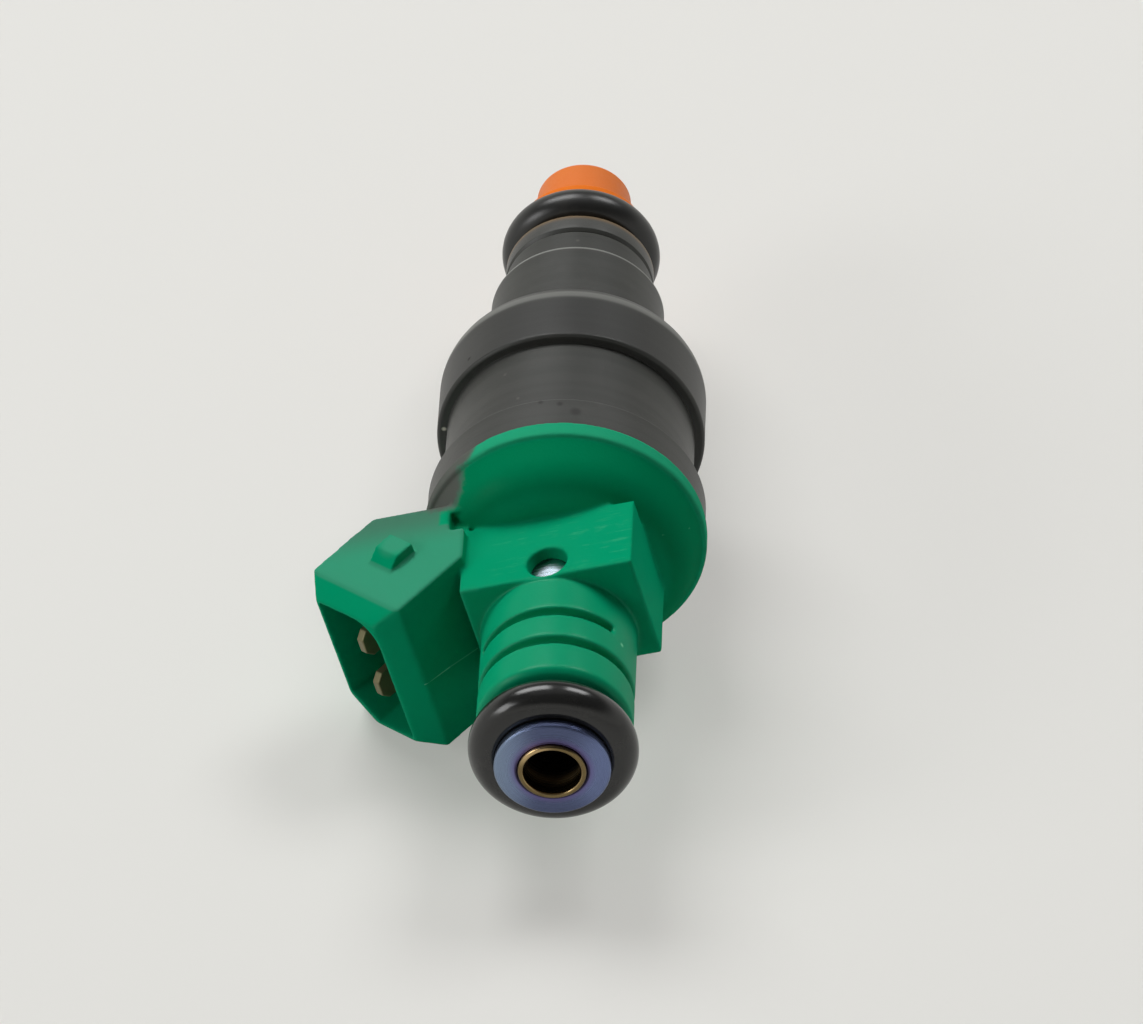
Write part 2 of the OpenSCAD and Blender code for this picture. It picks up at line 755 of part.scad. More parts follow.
module valve_needle() {
    cone_z = seat_end_z - (stem_r - orifice_r) - seat_gap;
    pintle_r = pintle_d / 2;
    color(steel) lay_down() {
        rotate_extrude() {
            band(stem_r, pocket_z, cone_z);
            band(stop_d / 2, stop_z, stop_z + stop_t);
            polygon([[0, cone_z], [stem_r, cone_z], [pintle_r, cone_z + stem_r - pintle_r],
                [pintle_r, pintle_end_z], [0, pintle_end_z]]);
        }
        guide_land(head_z + stop_pocket_len + guide_len / 2);
        guide_land(seat_z - 2 * guide_len);
    }
}

module lift_shim() {
    color(steel) lay_down() rotate_extrude() translate([armature_r + run_gap, shim_z])
        square([head_r - armature_r - run_gap, shim_t]);
}

module lift_stop_plate() {
    hole_r = stem_r + loose_gap;
    color(steel) lay_down() translate([0, 0, stop_plate_z]) difference() {
        cylinder(r = head_r, h = stop_plate_t);
        translate([0, 0, -over]) cylinder(r = hole_r, h = stop_plate_t + 2 * over);
        translate([0, -hole_r, -over]) cube([head_r + over, 2 * hole_r, stop_plate_t + 2 * over]);
    }
}

module nozzle_seal() {
    color(rubber) lay_down() o_ring(head_r - nozzle_seal_d / 2, nozzle_seal_d, head_seal_z);
}

module nozzle_body() {
    seal_pocket = nozzle_seal_d + 2 * fit_gap;
    color(dark_steel) lay_down() rotate_extrude() difference() {
        union() {
            band(head_r, head_z, head_end_z);
            band(nozzle_r, head_z, nozzle_end_z);
            band(tube_r, head_z, cap_z);
            band(tip_d / 2, head_z, tip_z);
        }
        translate([head_r - seal_pocket, head_seal_z - seal_pocket / 2])
            square([seal_pocket + over, seal_pocket]);
        translate([tip_d / 2 - snap_depth, (cap_z + tip_z) / 2 - snap_depth])
            square([snap_depth + over, 2 * snap_depth]);
        band(stop_d / 2 + loose_gap, head_z - over, head_z + stop_pocket_len);
        band(guide_bore_r, head_z - over, seat_z);
        polygon([[0, seat_z], [guide_bore_r, seat_z], [orifice_r, seat_end_z],
            [orifice_r, tip_z + over], [0, tip_z + over]]);
    }
}

module body_shell() {
    color(dark_steel) lay_down() rotate_extrude() difference() {
        union() {
            bevelled_band(crimp_d / 2, shell_z, waist_z, second = ring_round / 2);
            band(waist_d / 2, shell_z, ring_z + over);
            rounded_band(ring_d / 2, ring_z, shoulder_z, ring_round);
            band(ring_d / 2 - shoulder_round, ring_z, shell_neck_z);
            translate([ring_d / 2 - shoulder_round, shoulder_z]) circle(shoulder_round);
            bevelled_band(shell_neck_d / 2, ring_z, shell_end_z, second = shell_bevel);
        }
        band(plate_r + fit_gap, shell_z - over, bobbin_z);
        band(chamber_r, shell_z, floor_z);
        band(armature_r + run_gap, shell_z, shell_end_z);
        band(head_r + fit_gap, shim_z, head_end_z);
        band(nozzle_r + fit_gap, shim_z, shell_end_z + over);
    }
}

module support_ring() {
    color(dark_steel) lay_down() rotate_extrude() difference() {
        union() {
            band(spigot_d / 2, nozzle_end_z, support_end_z);
            bevelled_band(support_d / 2, support_z, support_end_z, support_bevel, support_bevel);
        }
        band(on_tube_r, nozzle_end_z - over, support_end_z + over);
    }
}

module nozzle_o_ring() {
    color(rubber) lay_down() o_ring(seal_mid_r, seal_section_d, nozzle_seal_z);
}

module pintle_cap() {
    cap_r = cap_d / 2;
    tip_bore_r = tip_d / 2 + fit_gap;
    color(orange) lay_down() rotate_extrude() difference() {
        union() {
            bevelled_band(cap_flange_d / 2, cap_z, cap_z + cap_flange_t, second = cap_groove_depth / 2);
            band(cap_r, cap_z, cap_end_z - cap_round);
            band(cap_r - cap_round, cap_z, cap_end_z);
            translate([cap_r - cap_round, cap_end_z - cap_round]) circle(cap_round);
        }
        translate([cap_r - cap_groove_depth, cap_z + cap_flange_t])
            square([cap_groove_depth + over, cap_groove_w]);
        difference() {
            band(tip_bore_r, cap_z - over, tip_z + fit_gap);
            translate([tip_bore_r - snap_depth, (cap_z + tip_z) / 2 - snap_depth + fit_gap])
                square([snap_depth, 2 * (snap_depth - fit_gap)]);
        }
        band(spray_d / 2, cap_z, cap_end_z + over);
    }
}

inlet_tube();
filter_collar();
filter_basket();
filter_screen();
rail_o_ring();
connector_moulding();
plug_socket();
terminal_upper();
terminal_lower();
pole_plate();
bobbin();
coil_winding();
coil_leads();
upper_coil_seal();
lower_coil_seal();
adjusting_tube();
return_spring();
armature();
valve_needle();
lift_shim();
lift_stop_plate();
nozzle_seal();
nozzle_body();
body_shell();
support_ring();
nozzle_o_ring();
pintle_cap();
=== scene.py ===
"""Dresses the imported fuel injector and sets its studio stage.

The turned pieces are half sections of their solids, with rounded corners, spun again at a finer step. The
plastic moulding and the blades are softened copies of their solids. The return spring is wound anew, and the
other pieces inside keep their solids and get a finish.
"""

import json
import math

import bmesh
import bpy
import numpy as np
from bpy.props import FloatProperty, FloatVectorProperty, IntProperty, PointerProperty
from mathutils import Matrix, Vector


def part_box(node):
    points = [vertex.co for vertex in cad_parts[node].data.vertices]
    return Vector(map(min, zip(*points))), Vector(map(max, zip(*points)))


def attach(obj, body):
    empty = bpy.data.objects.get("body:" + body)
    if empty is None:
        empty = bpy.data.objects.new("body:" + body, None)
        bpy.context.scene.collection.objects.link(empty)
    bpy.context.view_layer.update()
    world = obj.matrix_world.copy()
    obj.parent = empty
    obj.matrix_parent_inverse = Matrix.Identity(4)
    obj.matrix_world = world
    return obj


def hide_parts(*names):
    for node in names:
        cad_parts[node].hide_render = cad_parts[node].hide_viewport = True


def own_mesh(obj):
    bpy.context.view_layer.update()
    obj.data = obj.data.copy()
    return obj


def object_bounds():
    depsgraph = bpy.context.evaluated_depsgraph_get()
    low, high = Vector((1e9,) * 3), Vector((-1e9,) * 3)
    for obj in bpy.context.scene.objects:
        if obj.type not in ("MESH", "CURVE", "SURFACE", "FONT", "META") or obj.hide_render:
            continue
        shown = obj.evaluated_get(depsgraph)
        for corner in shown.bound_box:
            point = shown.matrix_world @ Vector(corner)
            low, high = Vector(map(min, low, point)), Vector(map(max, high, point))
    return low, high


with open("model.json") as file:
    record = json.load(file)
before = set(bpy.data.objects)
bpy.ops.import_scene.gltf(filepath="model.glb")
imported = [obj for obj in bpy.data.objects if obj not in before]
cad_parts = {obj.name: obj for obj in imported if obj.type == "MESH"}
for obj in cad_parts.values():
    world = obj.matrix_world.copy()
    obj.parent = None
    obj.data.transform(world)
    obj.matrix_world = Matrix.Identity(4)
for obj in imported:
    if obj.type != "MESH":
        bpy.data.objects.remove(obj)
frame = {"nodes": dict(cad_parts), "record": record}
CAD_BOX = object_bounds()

bl_info = {
    "name": "Fuel injector looks",
    "version": (1, 0, 0),
    "blender": (4, 5, 0),
    "location": "3D View > Sidebar > Injector",
    "description": "Dresses a packed fuel injector and sets its studio stage",
    "category": "Object",
}

MM = 0.001
BODY = "injector"
AXIS = (0, 1, 0)
# Points closer than this are one point
MERGE = 2e-6
# Turns below the first angle count as straight in a section, and turns above the second as corners
STRAIGHT = math.radians(0.5)
CORNER = math.radians(30)
# Smoothing passes that the whole of a softened mesh gets, the share that a pass moves a point by, and how
# steeply the outer edges are told from the inner corners
LIGHT_PASSES = 2
PASS_SHARE = 0.5
OUTER_STEEPNESS = 8
# Share of a voxel by which the plug socket sinks in the block, so that the two make one moulding
SOCKET_SINK = 0.3
# Steps of a turn and round the wire of the return spring
TURN_STEPS = 24
WIRE_STEPS = 12
# Width of the camera's sensor and its nearest distance, and the slopes between which the backdrop darkens
SENSOR_MM = 36
NEAREST = 0.01
CEILING_FADE = (0.2, 0.55)
# Place and aim of each lamp from the object's middle, and its width and height, in metres
LAMPS = {
    "rear_left": ((-0.5, 0.54, 0.95), (-0.5, 0, 0), (0.8, 0.5)),
    "rear_right": ((0.5, 0.54, 0.95), (0.5, 0, 0), (0.5, 0.45)),
    "top": ((-0.1, 0.4, 1.35), (0, 0, 0), (1.5, 1.5)),
    "side": ((-0.9, -0.4, 0.45), (0, 0, 0), (0.45, 0.35)),
}
MOUNTS = {mount["name"]: mount for mount in frame["record"]["mounts"]}


def shown(red, green, blue):
    """A colour as a screen shows it, from 0 to 255, in the linear values that a shader takes."""
    def linear(part):
        share = part / 255
        return share / 12.92 if share <= 0.04045 else ((share + 0.055) / 1.055) ** 2.4
    return linear(red), linear(green), linear(blue)


def length(name, description, millimetres):
    """A length that a user can change."""
    return FloatProperty(name=name, description=description, default=millimetres * MM, min=0,
                         unit="LENGTH", precision=5)


def count(name, description, number, least=0):
    """A whole number that a user can change."""
    return IntProperty(name=name, description=description, default=number, min=least)


def fraction(name, description, part, least=0.0):
    """A part of a whole, which a user can change."""
    return FloatProperty(name=name, description=description, default=part, min=least, max=1, subtype="FACTOR")


def power(name, description, watts):
    """A lamp's power, which a user can change."""
    return FloatProperty(name=name, description=description, default=watts, min=0, unit="POWER")


def colour(name, description, red, green, blue):
    """A colour that a user can change, given as a screen shows it."""
    return FloatVectorProperty(name=name, description=description, default=shown(red, green, blue),
                               min=0, max=1, size=3, subtype="COLOR")


class InjectorShapes(bpy.types.PropertyGroup):
    """Roundings and fineness of the meshes."""
    spin_steps: count("Spin steps", "Steps round the valve's axis", 192, 24)
    corner_steps: count("Corner steps", "Segments of a rounded corner", 4, 1)
    seal_steps: count("Seal steps", "Steps round a seal's section", 48, 12)
    tube_edge: length("Tube edge", "Rounding of the inlet tube's corners", 0.2)
    collar_edge: length("Collar edge", "Rounding of the filter collar's corners", 0.22)
    shell_edge: length("Shell edge", "Rounding of the shell's corners", 0.25)
    nozzle_edge: length("Nozzle edge", "Rounding of the nozzle body's corners", 0.12)
    support_edge: length("Support edge", "Rounding of the support ring's corners", 0.1)
    cap_edge: length("Cap edge", "Rounding of the pintle cap's corners", 0.18)
    moulding_voxel: length("Moulding voxel", "Mesh size that the moulding is softened at", 0.12)
    moulding_passes: count("Moulding passes", "Smoothing passes on the moulding", 7)
    socket_passes: count("Socket passes", "Further passes on the plug socket", 10)
    moulding_share: fraction("Moulding share", "Share of the softened mesh that is kept", 0.26, 0.05)
    blade_voxel: length("Blade voxel", "Mesh size that the blades are softened at", 0.07)
    blade_passes: count("Blade passes", "Smoothing passes on the blades", 2)
    spring_wire: length("Spring wire", "Wire of the return spring", 0.6)
    spring_turns: count("Spring turns", "Turns of the return spring", 8, 1)


class InjectorFinishes(bpy.types.PropertyGroup):
    """Colours of the finishes, as a screen shows them under plain light."""
    green: colour("Green", "Moulded plastic of the neck, block, disc and socket", 0, 150, 105)
    # Pale green: a random tone of the moulding, and also a painted highlight along its edges and a painted
    # sheen on the disc's rim
    green_tone_and_highlight: colour("Pale green", "Moulded plastic where it is scuffed or thin at an edge", 52, 164, 124)
    green_scuffed: colour("Scuffed green", "Scuffs on the block's face", 110, 204, 158)
    # Painted sheen: the paler green of the plug socket's top, at its front
    green_top_sheen: colour("Matt green", "The front of the plug socket's top", 56, 150, 116)
    # Painted shade: the deeper green of the disc's cone and front face
    green_painted_shade: colour("Deep green", "The disc's cone and front face", 0, 128, 84)
    # Grey-green: a painted reflection on the rear of the plug socket's top, and the edge of the grey patch at
    # the disc's left end
    green_greyed: colour("Dull green", "The rear of the plug socket's top, and round the smudge", 70, 122, 99)
    shell: colour("Shell", "Dark coating of the shell and the nozzle", 49, 50, 47)
    shell_worn: colour("Worn shell", "The coating where it is rubbed", 92, 92, 88)
    # Painted highlights, partly wear, on the shell's shoulder and along its edges
    shell_wear_highlight: colour("Bright shell", "The coating along rubbed edges", 150, 151, 146)
    rubber: colour("Rubber", "The sealing rings", 31, 31, 30)
    rubber_dust: colour("Rubber dust", "Dust on the sealing rings", 120, 116, 110)
    zinc: colour("Zinc", "Blue plating of the inlet tube", 106, 118, 156)
    # Painted reflections: lighter on the flange's left, darker on its top and foot
    zinc_lit_reflection: colour("Light zinc", "Plating on the flange's left", 132, 150, 170)
    zinc_dark_reflection: colour("Dark zinc", "Plating on the flange's top and foot", 80, 88, 118)
    zinc_pale: colour("Pale zinc", "Plating inside the moulding, which shows in the window", 200, 214, 228)
    zinc_violet: colour("Violet zinc", "Plating beside the inlet's hole", 108, 94, 146)
    brass: colour("Brass", "The filter collar", 116, 100, 68)
    # Painted highlight on the filter collar's upper left and inner rim
    brass_highlight: colour("Bright brass", "The filter collar where it is rubbed", 186, 160, 116)
    brass_dark: colour("Dark brass", "Tarnish on the filter collar", 82, 70, 46)
    blade: colour("Blade", "Tinned bronze of the blades", 118, 112, 80)
    blade_bright: colour("Bright blade", "The blades' sheared edges", 196, 190, 158)
    orange: colour("Orange", "The pintle cap", 225, 122, 56)
    orange_deep: colour("Deep orange", "The pintle cap where its wall is thin", 232, 116, 2)
    brown: colour("Brown", "Stain on the support ring's edge", 110, 88, 58)
    steel: colour("Steel", "Ground steel inside the valve", 176, 176, 180)
    copper: colour("Copper", "Enamelled wire of the winding", 176, 98, 58)
    nylon: colour("Nylon", "The bobbin", 206, 202, 186)
    filter: colour("Filter", "The filter's cage and screen", 20, 18, 16)


class InjectorStage(bpy.types.PropertyGroup):
    """Floor, lamps and camera."""
    floor: colour("Floor", "The pale floor", 232, 231, 227)
    floor_seen: colour("Seen floor", "The floor's own paleness, and the backdrop's", 227, 226, 221)
    ceiling: colour("Ceiling", "The dark ceiling that glossy pieces show", 84, 84, 84)
    floor_size: FloatProperty(name="Floor size", description="Side of the floor", default=8, unit="LENGTH")
    floor_lift: fraction("Floor lift", "Share of the floor's own paleness in its shadows", 0.4)
    sky: FloatProperty(name="Sky", description="Strength of the even light from all round", default=0.1,
                       min=0)
    rear_left: power("Rear left lamp", "Power of the lamp behind, on the left", 8.7)
    rear_right: power("Rear right lamp", "Power of the lamp behind, on the right", 5.3)
    top: power("Top lamp", "Power of the wide lamp above", 1.6)
    side: power("Side lamp", "Power of the soft lamp on the left", 2.8)
    camera_place: FloatVectorProperty(name="Camera", description="Place of the camera",
                                      default=(0.0173, -0.44065, 0.3963), subtype="TRANSLATION",
                                      unit="LENGTH")
    camera_aim: FloatVectorProperty(name="Aim", description="Direction that the camera looks in",
                                    default=(-0.02728, 0.76748, -0.6405), subtype="DIRECTION")
    camera_lens: FloatProperty(name="Lens", description="Focal length in millimetres", default=220.5, min=1)


# Meshes


def new_piece(name, mesh, material, slot, *nodes):
    """Links a mesh as a piece that rides on the injector and stands for the given nodes."""
    mesh.materials.clear()
    mesh.materials.append(material)
    for face in mesh.polygons:
        face.use_smooth = True
    piece = bpy.data.objects.new(name, mesh)
    bpy.context.scene.collection.objects.link(piece)
    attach(piece, BODY)
    if nodes:
        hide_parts(*nodes)
    return piece


def mesh_from(bm, name):
    """Turns a bmesh into a mesh and frees it."""
    mesh = bpy.data.meshes.new(name)
    bm.to_mesh(mesh)
    bm.free()
    return mesh


def merged_copy(*nodes):
    """A bmesh with copies of the nodes' solids, whose loose triangles are joined again."""
    bm = bmesh.new()
    for node in nodes:
        bm.from_mesh(frame["nodes"][node].data)
    bmesh.ops.remove_doubles(bm, verts=bm.verts, dist=MERGE)
    return bm


def turn_at(vertex):
    """Angle by which a section's line turns at a vertex."""
    before, after = (edge.other_vert(vertex).co - vertex.co for edge in vertex.link_edges)
    return math.pi - before.angle(after)


def spin_section(bm, steps):
    """Spins a half section round the valve's axis to a closed solid."""
    bmesh.ops.spin(bm, geom=bm.verts[:] + bm.edges[:], cent=(0, 0, 0), axis=AXIS, angle=math.tau,
                   steps=steps, use_merge=True)
    bmesh.ops.remove_doubles(bm, verts=bm.verts, dist=MERGE / 10)
    bmesh.ops.recalc_face_normals(bm, faces=bm.faces)


def turned_mesh(node, rounding, shapes):
    """The half section of a turned node, with its corners rounded, spun at a finer step."""
    bm = merged_copy(node)
    bmesh.ops.bisect_plane(bm, geom=bm.verts[:] + bm.edges[:] + bm.faces[:], dist=MERGE / 100,
                           plane_co=(0, 0, 0), plane_no=(1, 0, 0), clear_inner=True, clear_outer=True)
    bmesh.ops.delete(bm, geom=bm.faces[:], context="FACES_ONLY")
    bmesh.ops.delete(bm, geom=[v for v in bm.verts if v.co.z < MERGE], context="VERTS")
    bmesh.ops.remove_doubles(bm, verts=bm.verts, dist=MERGE)
    bmesh.ops.dissolve_limit(bm, angle_limit=STRAIGHT, verts=bm.verts, edges=bm.edges)
    if any(len(vertex.link_edges) != 2 for vertex in bm.verts):
        raise RuntimeError(f"the half section of {node} isn't a closed line")
    corners = [vertex for vertex in bm.verts if turn_at(vertex) > CORNER]
    bmesh.ops.bevel(bm, geom=corners, offset=rounding, offset_type="OFFSET", segments=shapes.corner_steps,
                    profile=0.5, affect="VERTICES", material=-1, clamp_overlap=True)
    spin_section(bm, shapes.spin_steps)
    return mesh_from(bm, node)


def turned_piece(name, node, rounding, material, slot):
    """A spun piece that stands for a turned node."""
    shapes = bpy.context.scene.injector_shapes
    piece = new_piece(name, turned_mesh(node, rounding, shapes), material, slot, node)
    piece.modifiers.new("flat faces stay flat", "WEIGHTED_NORMAL")
    return piece


def evaluated_mesh(piece):
    """The piece's mesh with its modifiers applied."""
    return bpy.data.meshes.new_from_object(piece.evaluated_get(bpy.context.evaluated_depsgraph_get()))


def rows_of(items, key):
    """A vector of each item, such as a vertex's place, as the rows of an array."""
    values = np.empty(len(items) * 3, np.float32)
    items.foreach_get(key, values)
    return values.reshape(-1, 3)


def smooth(bm, passes, zone=None):
    """Smooths a mesh, or only its vertices in a zone."""
    verts = [vertex for vertex in bm.verts if zone(vertex.co)] if zone else bm.verts
    for _ in range(passes):
        bmesh.ops.smooth_vert(bm, verts=verts, factor=PASS_SHARE, use_axis_x=True, use_axis_y=True,
                              use_axis_z=True)


def softened_mesh(bm, name, voxel, passes, share=1, more=()):
    """Rounds the outer edges of a solid by a fine remesh and smoothing, and then thins the mesh.

    Inner corners get only the first light passes, so they stay crisp. The attribute "edge" keeps how far a
    point sank, in voxels: it is above 0 on outer edges and below 0 in inner corners. more lists zones and the
    passes that each gets on top.
    """
    scratch = bpy.data.objects.new(name, mesh_from(bm, name))
    bpy.context.scene.collection.objects.link(scratch)
    remesh = scratch.modifiers.new("remesh", "REMESH")
    remesh.mode = "VOXEL"
    remesh.voxel_size = voxel
    mesh = evaluated_mesh(scratch)
    scratch.modifiers.clear()
    bm = bmesh.new()
    bm.from_mesh(mesh)
    smooth(bm, LIGHT_PASSES)
    bm.to_mesh(mesh)
    crisp = rows_of(mesh.vertices, "co")
    normals = rows_of(mesh.vertex_normals, "vector")
    smooth(bm, passes)
    for zone, extra in more:
        smooth(bm, extra, zone)
    bm.to_mesh(mesh)
    bm.free()
    moved = rows_of(mesh.vertices, "co") - crisp
    sunk = -(moved * normals).sum(axis=1) / voxel
    outer = np.clip(0.5 + OUTER_STEEPNESS * sunk, 0, 1)[:, None]
    mesh.vertices.foreach_set("co", (crisp + moved * outer).ravel())
    mesh.attributes.new("edge", "FLOAT", "POINT").data.foreach_set("value", sunk.astype(np.float32))
    scratch.data = mesh
    if share < 1:
        scratch.modifiers.new("thin", "DECIMATE").ratio = share
        mesh = evaluated_mesh(scratch)
    bpy.data.objects.remove(scratch)
    return mesh


# Shader nodes


def add(tree, kind, inputs=None, **settings):
    """Adds a node. inputs gives each socket, by name or number, a value or another node's output."""
    made = tree.nodes.new(kind)
    for key, value in settings.items():
        setattr(made, key, value)
    for key, value in (inputs or {}).items():
        if isinstance(value, bpy.types.NodeSocket):
            tree.links.new(value, made.inputs[key])
        else:
            made.inputs[key].default_value = value
    return made


def math_node(tree, operation, *values):
    return add(tree, "ShaderNodeMath", dict(enumerate(values)), operation=operation).outputs[0]


def times(tree, first, second):
    return math_node(tree, "MULTIPLY", first, second)


def larger(tree, first, second):
    return math_node(tree, "MAXIMUM", first, second)


def vector_node(tree, operation, *values):
    return add(tree, "ShaderNodeVectorMath", dict(enumerate(values)), operation=operation)


def noise(tree, place, scale, detail, roughness=0.5):
    made = add(tree, "ShaderNodeTexNoise", {"Vector": place, "Scale": scale, "Detail": detail,
                                            "Roughness": roughness})
    return made.outputs[0]


def line_noise(tree, along, scale, detail, roughness=0.5):
    """Noise that changes with one number alone."""
    made = add(tree, "ShaderNodeTexNoise", {"W": along, "Scale": scale, "Detail": detail,
                                            "Roughness": roughness}, noise_dimensions="1D")
    return made.outputs[0]


def ramp(tree, value, low, high, out_low=0.0, out_high=1.0):
    """A smooth step of a value from one level to another, held beyond them."""
    made = add(tree, "ShaderNodeMapRange", {"Value": value, "From Min": low, "From Max": high,
                                            "To Min": out_low, "To Max": out_high},
               interpolation_type="SMOOTHSTEP")
    return made.outputs["Result"]


def mix(tree, share, first, second):
    """Mixes two colours, each a colour or a socket."""
    made = add(tree, "ShaderNodeMix", data_type="RGBA")
    for number, value in ((0, share), (6, first), (7, second)):
        socket = made.inputs[number]
        if isinstance(value, bpy.types.NodeSocket):
            tree.links.new(value, socket)
        else:
            socket.default_value = (*value, 1) if number else value
    return made.outputs[2]


def effect_group(name, amount, outputs):
    """A new node group that takes a place and one amount, and the sockets of its two end nodes."""
    group = bpy.data.node_groups.new(name, "ShaderNodeTree")
    group.interface.new_socket("Position", in_out="INPUT", socket_type="NodeSocketVector")
    group.interface.new_socket(amount, in_out="INPUT", socket_type="NodeSocketFloat")
    for socket in outputs:
        group.interface.new_socket(socket, in_out="OUTPUT", socket_type="NodeSocketFloat")
    return group, group.nodes.new("NodeGroupInput").outputs, group.nodes.new("NodeGroupOutput").inputs


def grain_group():
    """Fine grain of a moulded surface, and slow changes of tone."""
    group, given, result = effect_group("Moulded grain", "Scale", ("Height", "Tone"))
    fine = noise(group, given["Position"], given["Scale"], 3.0)
    slow = noise(group, given["Position"], times(group, given["Scale"], 0.04), 2.0)
    group.links.new(fine, result["Height"])
    group.links.new(ramp(group, slow, 0.35, 0.65), result["Tone"])
    return group


def turning_group():
    """Rings that a lathe leaves, round the valve's axis: along a wall, and from the middle out on a face."""
    group, given, result = effect_group("Turning rings", "Density", ("Height", "Tone"))
    parts = add(group, "ShaderNodeSeparateXYZ", {0: given["Position"]}).outputs
    across = add(group, "ShaderNodeCombineXYZ", {0: parts[0], 2: parts[2]})
    radius = vector_node(group, "LENGTH", across.outputs[0]).outputs["Value"]
    along = times(group, math_node(group, "ADD", parts[1], radius), given["Density"])
    group.links.new(line_noise(group, along, 1.0, 4.0, 0.7), result["Height"])
    group.links.new(ramp(group, line_noise(group, along, 0.06, 1.0), 0.3, 0.7), result["Tone"])
    return group


def speck_group():
    """Dust specks and soft rubbed patches."""
    group, given, result = effect_group("Specks and rubs", "Scale", ("Specks", "Rubs"))
    cells = add(group, "ShaderNodeTexVoronoi", {"Vector": given["Position"], "Scale": given["Scale"]})
    drawn = add(group, "ShaderNodeSeparateColor", {0: cells.outputs["Color"]}).outputs[0]
    picked = math_node(group, "GREATER_THAN", drawn, 0.93)
    dots = times(group, ramp(group, cells.outputs["Distance"], 0.16, 0.08), picked)
    patches = noise(group, given["Position"], times(group, given["Scale"], 0.12), 6.0, 0.65)
    group.links.new(dots, result["Specks"])
    group.links.new(ramp(group, patches, 0.5, 0.72), result["Rubs"])
    return group


def streak_group():
    """Fine scuffs that run across the valve, in broken patches."""
    group, given, result = effect_group("Scuff streaks", "Scale", ("Mask",))
    drawn_out = vector_node(group, "MULTIPLY", given["Position"], (0.08, 1, 0.08)).outputs[0]
    lines = noise(group, drawn_out, given["Scale"], 5.0, 0.7)
    patches = noise(group, given["Position"], times(group, given["Scale"], 0.25), 3.0)
    mask = times(group, ramp(group, lines, 0.48, 0.66), ramp(group, patches, 0.42, 0.62))
    group.links.new(mask, result["Mask"])
    return group


EFFECTS = {"grain": grain_group, "turning": turning_group, "specks": speck_group, "streaks": streak_group}
GROUPS = {}


# Places of the zones and marks on the finishes


def at(x, y, z):
    """A place in the frame, from millimetres."""
    return x * MM, y * MM, z * MM


def span(first, last):
    """Two lengths or stations, from millimetres."""
    return first * MM, last * MM


def beyond(start, lengths):
    """Two lengths, counted from a start."""
    return start + lengths[0], start + lengths[1]


# Latch nose of the plug socket: its middle, the reach that stays crisp, and its top, which gets a painted
# sheen, with the top's fade
LATCH_AT = at(-14.7, 22.1, 4.9)
LATCH_REACH = 2.7 * MM
LATCH_TOP = at(-14.4, 22.8, 5.65)
LATCH_TOP_FADE = span(0.8, 2)

# Plug socket: where it leaves the block, the height of its top over the block's face, and the zones of the
# top's painted sheen, which turns to a greyer painted reflection at the rear
SOCKET_SIDE = -7 * MM
SOCKET_STEP = 1.2 * MM
TOP_FADE = span(0.3, 0.15)
TOP_FROM_BLOCK = span(-6.6, -7.6)
TOP_BEFORE_DISC = span(25.6, 25.2)
TOP_BESIDE_DISC = span(-10.6, -11)
TOP_REAR_REFLECTION = span(22.6, 27.4)

# Neck, block and disc: stations, radii and sides where their zones start and end
NECK_END = span(17.6, 17)
NECK_WALL = span(7.4, 7)
BLOCK_FACE = 6.9 * MM
BLOCK_FACE_FADE = span(0.15, 0.05)
BLOCK_END = span(24.9, 26.6)
# The disc's cone, between these stations and right of these sides, gets painted shade
CONE_START = span(25.4, 26.2)
CONE_END = span(29.8, 29.5)
CONE_SIDE = span(-10.6, -9.6)
# Station where the disc's rim starts; the rim gets a painted sheen
RIM_START = span(29.6, 29.9)

# Marks on the moulding: grey patches with their fade, and scratches with their two ends and their strength
SCUFFED_AT = at(0.5, 20.5, 7.2)
SCUFFED_FADE = span(5, 8.5)
GREY_PATCHES = ((at(-11, 30.6, 5.6), span(2, 4.4)), (at(-9, 31.4, 8.6), span(0.6, 2.2)))
SCRATCHES = ((at(-11.64, 14.97, -3.84), at(-9.53, 17.1, -3.56), 0.8),
             (at(-9.53, 17.1, -3.56), at(-7.21, 19.54, -3.43), 0.45),
             (at(8.59, 26.06, 4.43), at(10.99, 28.37, 3.36), 0.25))
SCRATCH_FADE = span(0.1, 0.03)
NICK_AT = at(5.54, 11.99, 3.86)
DOT_FADE = span(0.05, 0.3)

# Shell: its wide ring, stations of painted highlights that are partly wear with their reach and strength,
# stains with their size, and a speck
WIDE_RING_START = span(44.2, 44.7)
WIDE_RING_END = span(49.9, 49.3)
WORN_AND_LIT_BANDS = ((50.3 * MM, 0.7 * MM, 0.4), (62.26 * MM, 0.24 * MM, 0.7), (34.9 * MM, 0.15 * MM, 0.3))
STAINS = ((at(0.8, 33.2, 12.3), 0.6 * MM), (at(-0.6, 34.2, 12.3), 0.35 * MM),
          (at(-2.3, 34.6, 12.1), 0.3 * MM), (at(-9.1, 45.8, 7.8), 0.25 * MM))
SPECK_AT = at(-11.35, 44.3, 0.92)

# Inlet: rings counted from the hole's or the collar's wall, and zones of the flange's painted reflections,
# the tube and the bore
HOLE = MOUNTS["fuel_inlet"]["dims"]["r_mm"] * MM
VIOLET_RING = span(1.5, 0.4)
# Painted shade in the gap round the collar: the ring's width from the collar's wall, and its rise towards the
# foot
SHADE_GAP_RING = span(0.36, 0.16)
SHADE_GAP_FOOT = span(2.4, -0.6)
# Painted reflections on the flange: darker towards its top and foot, lighter on its left
FLANGE_UPRIGHT = span(-2, 3)
FLANGE_LEFT = span(-1, -5)
TUBE_INSIDE = span(8, 10)
BORE_DEEP = span(0.3, 2.5)
# Painted highlight on the collar: its middle and fade at the upper left, and its band along the inner rim
COLLAR_HIGHLIGHT_AT = at(-1.7, 0, 2.2)
COLLAR_HIGHLIGHT_FADE = span(0.6, 2.2)
COLLAR_RIM = span(0.16, 0.06)

